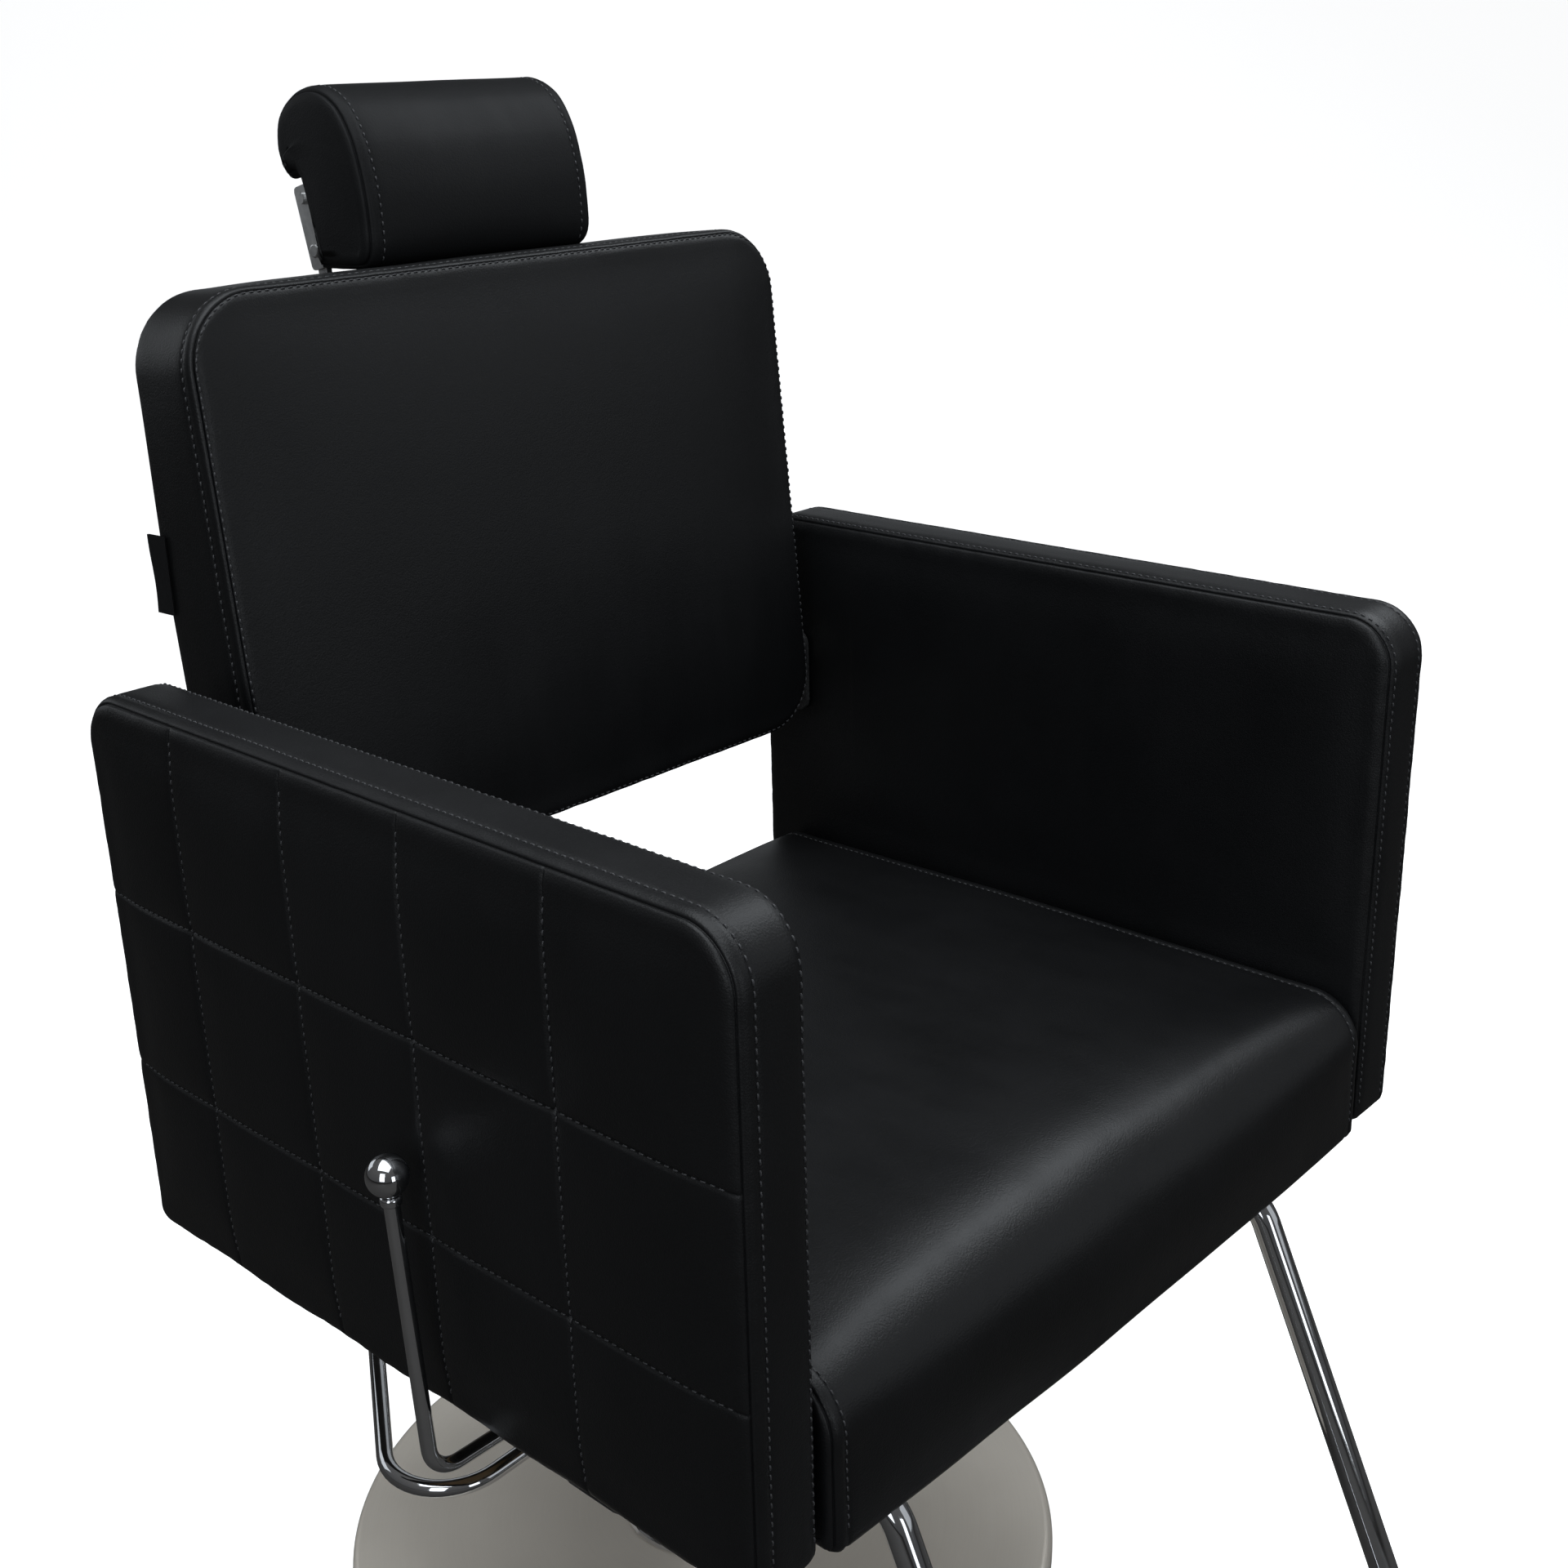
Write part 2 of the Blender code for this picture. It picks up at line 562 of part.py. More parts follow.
def build_recline_lever(seat):
    axis = add_joint_empty("recline_lever_axis", LEVER_AXIS)
    board_low = ARM_BOTTOM - GAP - LEVER_AXIS.z
    for x, name in ((-0.243, "outer"), (-0.120, "inner")):
        block = add_piece("lever_bearing_" + name, box_mesh((x - 0.007, -0.013, -0.010),
                                                            (x + 0.007, 0.013, board_low)), "nylon", axis)
        soften(block, 0.0015, 1)
        cut(block, add_tool("bearing_bore_" + name, rod_mesh((x - 0.02, 0, 0), (x + 0.02, 0, 0),
                                                             LEVER_ROD + RUNNING), axis))

    ball = LEVER_BALL - LEVER_AXIS
    elbow = Vector((ball.x, 0, 0))
    up = (ball - elbow).normalized()
    rod_end = ball - up * (LEVER_BALL_RADIUS + GAP)
    add_tube("recline_rod", bent_path([(LEVER_INNER_END, 0, 0), elbow, rod_end], 0.018, 5), LEVER_ROD,
             "chrome", axis)

    crank_x = -0.160
    crank = add_piece("recline_crank", rod_mesh((crank_x - 0.003, 0, 0), (crank_x + 0.003, 0, 0), 0.0095),
                      "zinc_steel", axis)
    weld_on(crank, add_tool("crank_arm", box_mesh((crank_x - 0.003, -0.0065, -0.034),
                                                  (crank_x + 0.003, 0.0065, -0.002)), axis))
    cut(crank, add_tool("crank_bore", rod_mesh((crank_x - 0.01, 0, 0), (crank_x + 0.01, 0, 0),
                                               LEVER_ROD + GAP), axis))
    cut(crank, add_tool("crank_eye", rod_mesh((crank_x - 0.01, 0, -0.027), (crank_x + 0.01, 0, -0.027),
                                              0.0025, 16), axis))

    tilt = Vector((0, 0, 1)).rotation_difference(up).to_euler()
    collar = add_turned("recline_collar", [(LEVER_ROD + GAP, -0.0125), (0.0058, -0.0125), (0.0062, -0.0132),
                                           (0.0062, -0.0163), (0.0058, -0.0170), (LEVER_ROD + GAP, -0.0170)],
                        "chrome", closed=True, parent=axis, steps=24)
    collar.location = ball
    collar.rotation_euler = tilt
    knob = bpy.data.meshes.new("knob")
    bm = bmesh.new()
    bmesh.ops.create_uvsphere(bm, u_segments=20, v_segments=12, radius=LEVER_BALL_RADIUS)
    bm.to_mesh(knob)
    bm.free()
    ball_knob = add_piece("recline_ball", knob, "chrome", axis)
    ball_knob.location = ball
    ball_knob.rotation_euler = tilt


# ---------------------------------------------------------------- back

def build_back():
    back = add_joint_empty("recline_axis", BACK_PIVOT, lean=BACK_LEAN)
    rear = BACK_FRONT + BACK_DEPTH
    pad = add_piece("back_pad", slab_mesh((-BACK_HALF_WIDTH, BACK_FRONT, BACK_BOTTOM),
                                          (BACK_HALF_WIDTH, rear, BACK_TOP), 1, BACK_CORNER, 6),
                    "leatherette", back)
    soften(pad, 0.010, 3)
    room_low, room_high, room_front = -0.012, 0.306, rear - 0.0190
    cut(pad, add_tool("back_room", box_mesh((-BACK_CORE_HALF - GAP, room_front, room_low),
                                            (BACK_CORE_HALF + GAP, rear + 0.02, room_high)), back))
    add_piece("back_core", box_mesh((-BACK_CORE_HALF, room_front + GAP, room_low + GAP),
                                    (BACK_CORE_HALF, rear - GAP, room_high - GAP)), "plywood", back)
    panel_back = rear + GAP + REAR_PANEL_DEPTH
    panel = add_piece("back_rear_panel", slab_mesh((-BACK_HALF_WIDTH + 0.006, rear + GAP, BACK_BOTTOM + 0.006),
                                                   (BACK_HALF_WIDTH - 0.006, panel_back, BACK_TOP - 0.006),
                                                   1, BACK_CORNER - 0.006, 6), "leatherette", back)
    soften(panel, 0.002, 1)
    add_piece("side_label", box_mesh((-BACK_HALF_WIDTH - GAP - 0.001, rear - 0.008, 0.146),
                                     (-BACK_HALF_WIDTH - GAP, rear + 0.003, 0.195)), "label_cloth", back)
    build_back_pivots(back)
    build_strut_bracket(back, panel_back + GAP)
    return back, panel_back + GAP


def build_back_pivots(back):
    """On each side: a plate with a stub shaft on the back, a bush, and a plate on the arm."""
    shaft = 0.008
    inner = BACK_HALF_WIDTH + GAP
    plate = 0.004
    for side, name in ((-1, "right"), (1, "left")):
        def at(x):
            return side * x
        ends = sorted((at(inner), at(inner + plate)))
        side_plate = add_piece("back_pivot_plate_" + name,
                               slab_mesh((ends[0], -0.013, -0.020), (ends[1], 0.020, 0.045), 0, 0.010, 3),
                               "black_steel", back)
        shaft_in = inner + plate + GAP
        arm_plate_in = ARM_INNER - GAP - plate
        weld_on(side_plate, add_tool("stub_shaft_" + name,
                                     rod_mesh((at(inner + 0.001), 0, 0), (at(ARM_INNER - 0.0008), 0, 0), shaft),
                                     back))
        bush = add_piece("pivot_bush_" + name, rod_mesh((at(shaft_in), 0, 0), (at(arm_plate_in - GAP), 0, 0),
                                                        0.0125), "nylon", back)
        cut(bush, add_tool("bush_bore", rod_mesh((at(0.2), 0, 0), (at(0.3), 0, 0), shaft + GAP), back))
        ends = sorted((at(arm_plate_in), at(arm_plate_in + plate)))
        y, z = BACK_PIVOT.y, BACK_PIVOT.z
        arm_plate = add_piece("arm_pivot_plate_" + name,
                              slab_mesh((ends[0], y - 0.018, z - 0.045), (ends[1], y + 0.022, z + 0.022),
                                        0, 0.010, 3), "black_steel")
        cut(arm_plate, add_tool("plate_bore", rod_mesh((at(0.2), y, z), (at(0.3), y, z), shaft + RUNNING)))


def build_strut_bracket(back, face):
    """Two ears on a plate at the rear of the back; the strut's upper eye hangs on the pin."""
    head = Matrix.Rotation(BACK_LEAN, 3, "X") @ (STRUT_HEAD - BACK_PIVOT)
    ear_half = 0.009
    ear = 0.004
    bracket = add_piece("strut_bracket", slab_mesh((-0.035, face, -0.034), (0.035, face + 0.004, 0.040),
                                                   1, 0.008, 3), "black_steel", back)
    for side in (-1, 1):
        ends = sorted((side * ear_half, side * (ear_half + ear)))
        outline = [(face + 0.002, -0.030), (head.y - 0.004, head.z - 0.011)]
        outline += arc_points((head.y, head.z), 0.011, -90, 90, 8)
        outline += [(face + 0.002, 0.036)]
        mesh = prism_mesh(outline, ear / 2)
        tool = add_tool("ear", mesh, back)
        tool.location = ((ends[0] + ends[1]) / 2, 0, 0)
        weld_on(bracket, tool)
    cut(bracket, add_tool("ear_bore", rod_mesh((-0.03, head.y, head.z), (0.03, head.y, head.z),
                                               STRUT_PIN_RADIUS + GAP), back))
    add_piece("strut_pin_upper", rod_mesh((-ear_half - ear - 0.003, head.y, head.z),
                                          (ear_half + ear + 0.003, head.y, head.z), STRUT_PIN_RADIUS),
              "zinc_steel", back)


# ---------------------------------------------------------------- gas strut

def build_strut(seat):
    ear_half = 0.010
    ear = 0.004
    foot = STRUT_FOOT - Vector((0, 0, PLATE_BOTTOM))
    anchor = add_piece("strut_anchor", slab_mesh((-RAIL_OFFSET - 0.0125, 0.107, 0),
                                                 (RAIL_OFFSET + 0.0125, foot.y + 0.018, PLATE_THICKNESS),
                                                 2, 0.006, 2), "black_steel", seat)
    for side in (-1, 1):
        middle = side * (ear_half + ear / 2)
        tool = add_tool("anchor_ear", box_mesh((middle - ear / 2, foot.y - 0.010, 0.002),
                                               (middle + ear / 2, foot.y + 0.010, foot.z + 0.010)), seat)
        weld_on(anchor, tool)
    cut(anchor, add_tool("anchor_bore", rod_mesh((-0.03, foot.y, foot.z), (0.03, foot.y, foot.z),
                                                 STRUT_PIN_RADIUS + GAP), seat))
    add_piece("strut_pin_lower", rod_mesh((-ear_half - ear - 0.003, foot.y, foot.z),
                                          (ear_half + ear + 0.003, foot.y, foot.z), STRUT_PIN_RADIUS),
              "zinc_steel", seat)

    reach = (STRUT_HEAD - STRUT_FOOT).length
    lean = math.atan2(STRUT_HEAD.y - STRUT_FOOT.y, STRUT_HEAD.z - STRUT_FOOT.z)
    axis = add_joint_empty("strut_axis", STRUT_FOOT, lean=lean)
    bore = STRUT_ROD_RADIUS + RUNNING
    barrel_low, barrel_top = 0.0125, 0.172
    add_turned("strut_barrel", [(bore, barrel_top), (STRUT_RADIUS - 0.001, barrel_top),
                                (STRUT_RADIUS, barrel_top - 0.001), (STRUT_RADIUS, barrel_low + 0.002),
                                (STRUT_RADIUS - 0.002, barrel_low), (0, barrel_low), (0, 0.030),
                                (bore, 0.030)], "black_steel", closed=True, parent=axis, steps=28)
    eye = add_piece("strut_foot_eye", rod_mesh((-0.009, 0, 0), (0.009, 0, 0), 0.0085), "black_steel", axis)
    weld_on(eye, add_tool("foot_neck", rod_mesh((0, 0, 0.004), (0, 0, barrel_low - GAP), 0.006), axis))
    cut(eye, add_tool("foot_bore", rod_mesh((-0.02, 0, 0), (0.02, 0, 0), STRUT_PIN_RADIUS + RUNNING), axis))

    # The upper eye is bored larger than its pin, because the linkage is opened here.
    eye_radius = 0.0105
    rod = add_piece("strut_rod", rod_mesh((0, 0, 0.108), (0, 0, reach - 0.006), STRUT_ROD_RADIUS),
                    "chrome", axis)
    weld_on(rod, add_tool("head_eye", rod_mesh((-0.0065, 0, reach), (0.0065, 0, reach), eye_radius), axis))
    cut(rod, add_tool("head_bore", rod_mesh((-0.02, 0, reach), (0.02, 0, reach),
                                            STRUT_PIN_RADIUS + 0.0030), axis))


# ---------------------------------------------------------------- headrest

def build_headrest(back, rear_face):
    pivot = Matrix.Rotation(BACK_LEAN, 3, "X") @ (TILT_PIVOT - BACK_PIVOT)
    slider = add_joint_empty("headrest_slide", pivot, parent=back)
    post_outer = FLANGE_OUTER - BRACKET_SHEET - RUNNING
    post_inner = post_outer - POST_THICKNESS
    half_depth = POST_DEPTH / 2
    pin = 0.0025
    foot = -POST_LENGTH
    for side, name in ((-1, "right"), (1, "left")):
        ends = sorted((side * post_inner, side * post_outer))
        post = add_piece("headrest_post_" + name, slab_mesh((ends[0], -half_depth, foot),
                                                            (ends[1], half_depth, half_depth),
                                                            0, half_depth - 0.0001, 4),
                         "zinc_steel", slider)
        cut(post, add_tool("post_bore_" + name, rod_mesh((side * 0.07, 0, 0), (side * 0.10, 0, 0),
                                                         pin + RUNNING), slider))
    tie = add_piece("headrest_post_tie", box_mesh((-post_inner + GAP, -half_depth + 0.001, foot + 0.002),
                                                  (post_inner - GAP, -half_depth + 0.005, foot + 0.024)),
                    "zinc_steel", slider)
    soften(tie, 0.0008, 1)

    # Guide on the rear of the back, with a slot for each post.
    slot = RUNNING
    guide_low, guide_high = foot + 0.112, foot + 0.160
    guide = add_piece("headrest_guide", slab_mesh((-post_outer - 0.012, rear_face - pivot.y, guide_low),
                                                  (post_outer + 0.012, half_depth + 0.0045, guide_high),
                                                  1, 0.008, 3), "black_steel", slider)
    soften(guide, 0.0015, 1)
    for side in (-1, 1):
        ends = sorted((side * (post_inner - slot), side * (post_outer + slot)))
        cut(guide, add_tool("post_slot", box_mesh((ends[0], -half_depth - slot, guide_low - 0.02),
                                                  (ends[1], half_depth + slot, guide_high + 0.02)), slider))
    cut(guide, add_tool("guide_window", box_mesh((-post_inner + 0.014, half_depth - 0.001, guide_low + 0.010),
                                                 (post_inner - 0.014, half_depth + 0.02, guide_high - 0.010)),
                        slider))

    head = add_joint_empty("headrest_axis", TILT_PIVOT, lean=HEADREST_LEAN)
    pad_rear = -0.0057
    sheet = BRACKET_SHEET
    bracket = add_piece("headrest_bracket", box_mesh((-FLANGE_OUTER, pad_rear + GAP, 0.018),
                                                     (FLANGE_OUTER, pad_rear + GAP + sheet, 0.0425)),
                        "zinc_steel", head)
    for side in (-1, 1):
        ends = sorted((side * (FLANGE_OUTER - sheet), side * FLANGE_OUTER))
        weld_on(bracket, add_tool("flange", slab_mesh((ends[0], pad_rear + GAP, -0.0115),
                                                      (ends[1], 0.0092, 0.0425), 0, 0.003, 2), head))
        rivet = ((side * (FLANGE_OUTER - 0.001), 0.001, 0.0345),
                 (side * (FLANGE_OUTER + 0.0024), 0.001, 0.0345))
        weld_on(bracket, add_tool("stop_rivet", rod_mesh(*rivet, 0.0040, 16), head))
    cut(bracket, add_tool("flange_bore", rod_mesh((-0.12, 0, 0), (0.12, 0, 0), pin + GAP), head))
    for side, name in ((-1, "right"), (1, "left")):
        add_tilt_screw("tilt_screw_" + name, side, post_inner - 0.0015, pin, head)
    add_piece("headrest_pad", prism_mesh(headrest_outline(pad_rear), HEADREST_HALF_WIDTH), "leatherette", head)
    soften(bpy.data.objects["headrest_pad"], 0.006, 2)


def add_tilt_screw(name, side, inner, pin, parent):
    """A round-head screw on the flange, whose shank goes through the post."""
    face = side * (FLANGE_OUTER + GAP)
    crown = side * (FLANGE_OUTER + GAP + 0.0022)
    screw = add_piece(name, rod_mesh((face, 0, 0), (crown, 0, 0), 0.0045, 20), "zinc_steel", parent)
    soften(screw, 0.0010, 2)
    weld_on(screw, add_tool("shank", rod_mesh((side * inner, 0, 0), (face + side * 0.001, 0, 0), pin, 16),
                            parent))


def headrest_outline(rear):
    """Side view of the headrest pad: flat behind, full in front, curled over at the top rear."""
    return [(rear, -0.0125), (-0.0380, -0.0202), (-0.0560, -0.0222), (-0.0665, -0.0135),
            (-0.0725, 0.0080), (-0.0750, 0.0300), (-0.0735, 0.0560), (-0.0640, 0.0800),
            (-0.0430, 0.0955), (-0.0170, 0.0970), (0.0020, 0.0885), (0.0112, 0.0715),
            (0.0114, 0.0580), (0.0060, 0.0470), (rear, 0.0442)]


def build_chair():
    build_base()
    build_pump()
    build_foot_lever()
    seat = build_seat_frame()
    build_seat(seat)
    build_arms(seat)
    build_footrest(seat)
    build_recline_lever(seat)
    back, rear_face = build_back()
    build_strut(seat)
    build_headrest(back, rear_face)


build_chair()
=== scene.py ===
import json
import math

import bmesh
import bpy
import numpy as np
from mathutils import Matrix, Vector, kdtree, noise


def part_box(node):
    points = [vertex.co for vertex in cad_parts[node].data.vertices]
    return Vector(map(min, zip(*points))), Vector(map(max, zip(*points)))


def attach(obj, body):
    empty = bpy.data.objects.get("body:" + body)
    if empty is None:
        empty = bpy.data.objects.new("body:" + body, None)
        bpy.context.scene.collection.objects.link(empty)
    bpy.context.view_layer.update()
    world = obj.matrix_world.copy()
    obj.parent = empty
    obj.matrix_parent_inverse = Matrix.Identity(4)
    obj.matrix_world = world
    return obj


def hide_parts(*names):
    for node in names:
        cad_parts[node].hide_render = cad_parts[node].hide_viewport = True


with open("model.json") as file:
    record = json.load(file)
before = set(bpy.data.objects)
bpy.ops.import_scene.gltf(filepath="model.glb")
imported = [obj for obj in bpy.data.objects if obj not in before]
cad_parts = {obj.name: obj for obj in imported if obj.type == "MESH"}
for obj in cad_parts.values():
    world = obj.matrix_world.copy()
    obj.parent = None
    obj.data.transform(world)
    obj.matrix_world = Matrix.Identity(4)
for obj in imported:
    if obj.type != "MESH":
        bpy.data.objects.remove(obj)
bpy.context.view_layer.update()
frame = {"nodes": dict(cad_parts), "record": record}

MM = 0.001
SCENE = bpy.context.scene

# Seams and stitches shared by all the upholstery.
STITCH_PITCH = 5.5 * MM
STITCH_LENGTH = 3.3 * MM
THREAD = 0.50 * MM
CREASE_DEPTH = 1.5 * MM
CREASE_WIDTH = 0.7 * MM
DIMPLE_DEPTH = 0.6 * MM
DIMPLE_WIDTH = 1.3 * MM
CORNER_DECAY = 60 * MM
RIDGE_HEIGHT = 0.20 * MM
RIDGE_WIDTH = 3.2 * MM
PUCKER_DEPTH = 0.30 * MM
PUCKER_SIZE = 9 * MM
LUMP_SIZE = 75 * MM
THREAD_SIDES = 6
# Farther than SURE_SEAM from a crease a vertex is not on it; with less travel than STILL it is held.
SURE_SEAM = 0.1 * MM
STILL = 0.05 * MM

# The cloth that the pads are blown up from.
PUFF_FRAMES = 20
CLOTH_MASS = 0.25
TENSION, COMPRESSION, SHEAR, BENDING = 18, 12, 8, 0.6
PIN_STIFFNESS = 4


# ---------------------------------------------------------------- shader helpers

class Net:
    """Adds nodes to a tree in short lines and links them up."""

    def __init__(self, tree):
        self.tree = tree

    def node(self, kind, **settings):
        made = self.tree.nodes.new(kind)
        for key, value in settings.items():
            setattr(made, key, value)
        return made

    def set(self, socket, value):
        """A socket takes a link from another socket, or a plain value."""
        if isinstance(value, bpy.types.NodeSocket):
            self.tree.links.new(value, socket)
        else:
            socket.default_value = value

    def math(self, operation, first, second=0.0, clamp=False):
        made = self.node("ShaderNodeMath", operation=operation, use_clamp=clamp)
        self.set(made.inputs[0], first)
        self.set(made.inputs[1], second)
        return made.outputs[0]

    def ramp(self, value, low, high, out_low=0.0, out_high=1.0):
        """Straight line from (low, out_low) to (high, out_high), flat beyond both ends."""
        made = self.node("ShaderNodeMapRange")
        self.set(made.inputs["Value"], value)
        self.set(made.inputs["From Min"], low)
        self.set(made.inputs["From Max"], high)
        self.set(made.inputs["To Min"], out_low)
        self.set(made.inputs["To Max"], out_high)
        return made.outputs["Result"]

    def mix(self, share, first, second):
        made = self.node("ShaderNodeMix", data_type="RGBA")
        self.set(made.inputs[0], share)
        self.set(made.inputs[6], first)
        self.set(made.inputs[7], second)
        return made.outputs[2]

    def place(self, scale=(1, 1, 1)):
        """The piece's own coordinates in metres, stretched."""
        here = self.node("ShaderNodeTexCoord")
        mapping = self.node("ShaderNodeMapping")
        mapping.inputs["Scale"].default_value = scale
        self.set(mapping.inputs["Vector"], here.outputs["Object"])
        return mapping.outputs["Vector"]

    def noise(self, vector, scale, detail=3.0, roughness=0.5):
        made = self.node("ShaderNodeTexNoise")
        self.set(made.inputs["Vector"], vector)
        self.set(made.inputs["Scale"], scale)
        self.set(made.inputs["Detail"], detail)
        self.set(made.inputs["Roughness"], roughness)
        return made.outputs["Fac"]

    def cells(self, vector, scale, feature="F1"):
        made = self.node("ShaderNodeTexVoronoi", feature=feature)
        self.set(made.inputs["Vector"], vector)
        self.set(made.inputs["Scale"], scale)
        return made.outputs["Distance"]


def effect_group(name, inputs, outputs, fill):
    """A node group with named sockets: inputs as (name, value), outputs as names, fill makes its nodes."""
    group = bpy.data.node_groups.new(name, "ShaderNodeTree")
    for label, value in inputs:
        socket = group.interface.new_socket(label, in_out="INPUT", socket_type="NodeSocketFloat")
        socket.default_value = value
    for label in outputs:
        group.interface.new_socket(label, in_out="OUTPUT", socket_type="NodeSocketFloat")
    net = Net(group)
    source = net.node("NodeGroupInput")
    sink = net.node("NodeGroupOutput")
    fill(net, source.outputs, sink.inputs)
    return group


def grain(net, given, out):
    """Fine embossed hide grain, with soft creases between the pebbles."""
    here = net.place()
    wobble = net.noise(here, 180.0, 2.0)
    pebble = net.cells(here, given["Scale"])
    fine = net.noise(here, net.math("MULTIPLY", given["Scale"], 2.6), 2.0)
    crease = net.noise(here, net.math("MULTIPLY", given["Scale"], 0.16), 4.0, 0.62)
    ridge = net.math("ABSOLUTE", net.math("SUBTRACT", crease, 0.5))
    height = net.math("MULTIPLY", pebble, -0.55)
    height = net.math("ADD", height, net.math("MULTIPLY", fine, 0.30))
    height = net.math("ADD", height, net.math("MULTIPLY", ridge, 0.9))
    height = net.math("ADD", height, net.math("MULTIPLY", wobble, 0.35))
    net.set(out["Height"], height)
    net.set(out["Tone"], net.ramp(pebble, 0.1, 0.7, 1.0, 0.0))


def handling(net, given, out):
    """Large soft patches where hands and cloths have polished or dulled a surface."""
    here = net.place()
    broad = net.noise(here, given["Scale"], 4.0, 0.6)
    streak = net.noise(net.place((3.0, 1.0, 0.6)), net.math("MULTIPLY", given["Scale"], 3.0), 3.0)
    both = net.math("ADD", net.math("MULTIPLY", broad, 0.7), net.math("MULTIPLY", streak, 0.3))
    net.set(out["Mask"], net.ramp(both, 0.36, 0.66))


def dust(net, given, out):
    """Specks and a thin film of dust that lies on what faces up."""
    surface = net.node("ShaderNodeNewGeometry")
    split = net.node("ShaderNodeSeparateXYZ")
    net.set(split.inputs[0], surface.outputs["Normal"])
    up = net.ramp(split.outputs["Z"], 0.25, 0.95)
    here = net.place()
    film = net.ramp(net.noise(here, 9.0, 5.0, 0.65), 0.35, 0.75, 0.45, 1.0)
    speck = net.ramp(net.cells(here, 260.0), 0.05, 0.11, 1.0, 0.0)
    rare = net.ramp(net.noise(here, 60.0, 1.0), 0.60, 0.66)
    specks = net.math("MULTIPLY", net.math("MULTIPLY", speck, rare), 0.8)
    cover = net.math("ADD", net.math("MULTIPLY", film, 0.35), specks)
    net.set(out["Mask"], net.math("MULTIPLY", net.math("MULTIPLY", cover, up), given["Amount"], True))


def edge_wear(net, given, out):
    """Where raised edges have been rubbed."""
    surface = net.node("ShaderNodeNewGeometry")
    broken = net.noise(net.place(), 90.0, 4.0, 0.7)
    edge = net.ramp(surface.outputs["Pointiness"], 0.515, 0.60)
    rubbed = net.math("MULTIPLY", edge, net.ramp(broken, 0.38, 0.62))
    net.set(out["Mask"], net.math("MULTIPLY", rubbed, given["Amount"], True))


def brushing(net, given, out):
    """Long fine lines left by a brush that went round the vertical axis."""
    here = net.place()
    split = net.node("ShaderNodeSeparateXYZ")
    net.set(split.inputs[0], here)
    square = net.math("ADD", net.math("MULTIPLY", split.outputs["X"], split.outputs["X"]),
                      net.math("MULTIPLY", split.outputs["Y"], split.outputs["Y"]))
    radius = net.math("SQRT", square)
    turn = net.math("ARCTAN2", split.outputs["Y"], split.outputs["X"])
    joined = net.node("ShaderNodeCombineXYZ")
    net.set(joined.inputs[0], net.math("MULTIPLY", radius, given["Scale"]))
    net.set(joined.inputs[1], net.math("MULTIPLY", turn, 1.5))
    net.set(joined.inputs[2], net.math("MULTIPLY", split.outputs["Z"], given["Scale"]))
    lines = net.noise(joined.outputs[0], 1.0, 5.0, 0.7)
    net.set(out["Lines"], lines)
    net.set(out["Height"], net.math("MULTIPLY", lines, 0.5))


def weave(net, given, out):
    """Over-and-under threads of a woven or knitted cloth."""
    here = net.place()
    split = net.node("ShaderNodeSeparateXYZ")
    net.set(split.inputs[0], here)
    across = net.math("SINE", net.math("MULTIPLY", net.math("ADD", split.outputs["X"], split.outputs["Y"]),
                                       given["Scale"]))
    along = net.math("SINE", net.math("MULTIPLY", split.outputs["Z"], given["Scale"]))
    both = net.math("MULTIPLY", across, along)
    net.set(out["Height"], net.math("ADD", net.math("MULTIPLY", both, 0.5), 0.5))


GRAIN = effect_group("hide_grain", [("Scale", 900.0)], ["Height", "Tone"], grain)
HANDLING = effect_group("handling_marks", [("Scale", 6.0)], ["Mask"], handling)
DUST = effect_group("settled_dust", [("Amount", 1.0)], ["Mask"], dust)
WEAR = effect_group("edge_wear", [("Amount", 1.0)], ["Mask"], edge_wear)
BRUSHING = effect_group("round_brushing", [("Scale", 900.0)], ["Lines", "Height"], brushing)
WEAVE = effect_group("thread_weave", [("Scale", 6000.0)], ["Height"], weave)


class Finish(Net):
    """A material with one Principled shader, built from effects."""

    def __init__(self, name, **constants):
        self.material = bpy.data.materials.new(name)
        self.material.use_nodes = True
        super().__init__(self.material.node_tree)
        self.shader = self.material.node_tree.nodes["Principled BSDF"]
        for label, value in constants.items():
            self.shader.inputs[label.replace("_", " ")].default_value = value

    def effect(self, group, output, **amounts):
        made = self.node("ShaderNodeGroup", node_tree=group)
        for label, value in amounts.items():
            self.set(made.inputs[label], value)
        return made.outputs[output]

    def colour(self, value):
        self.set(self.shader.inputs["Base Color"], value)

    def roughness(self, value):
        self.set(self.shader.inputs["Roughness"], value)

    def bump(self, height, distance, strength=1.0):
        made = self.node("ShaderNodeBump")
        made.inputs["Strength"].default_value = strength
        made.inputs["Distance"].default_value = distance
        self.set(made.inputs["Height"], height)
        self.set(self.shader.inputs["Normal"], made.outputs["Normal"])


# ---------------------------------------------------------------- finishes

HIDE_GRAIN = 900.0
BRUSH_LINES = 1400.0


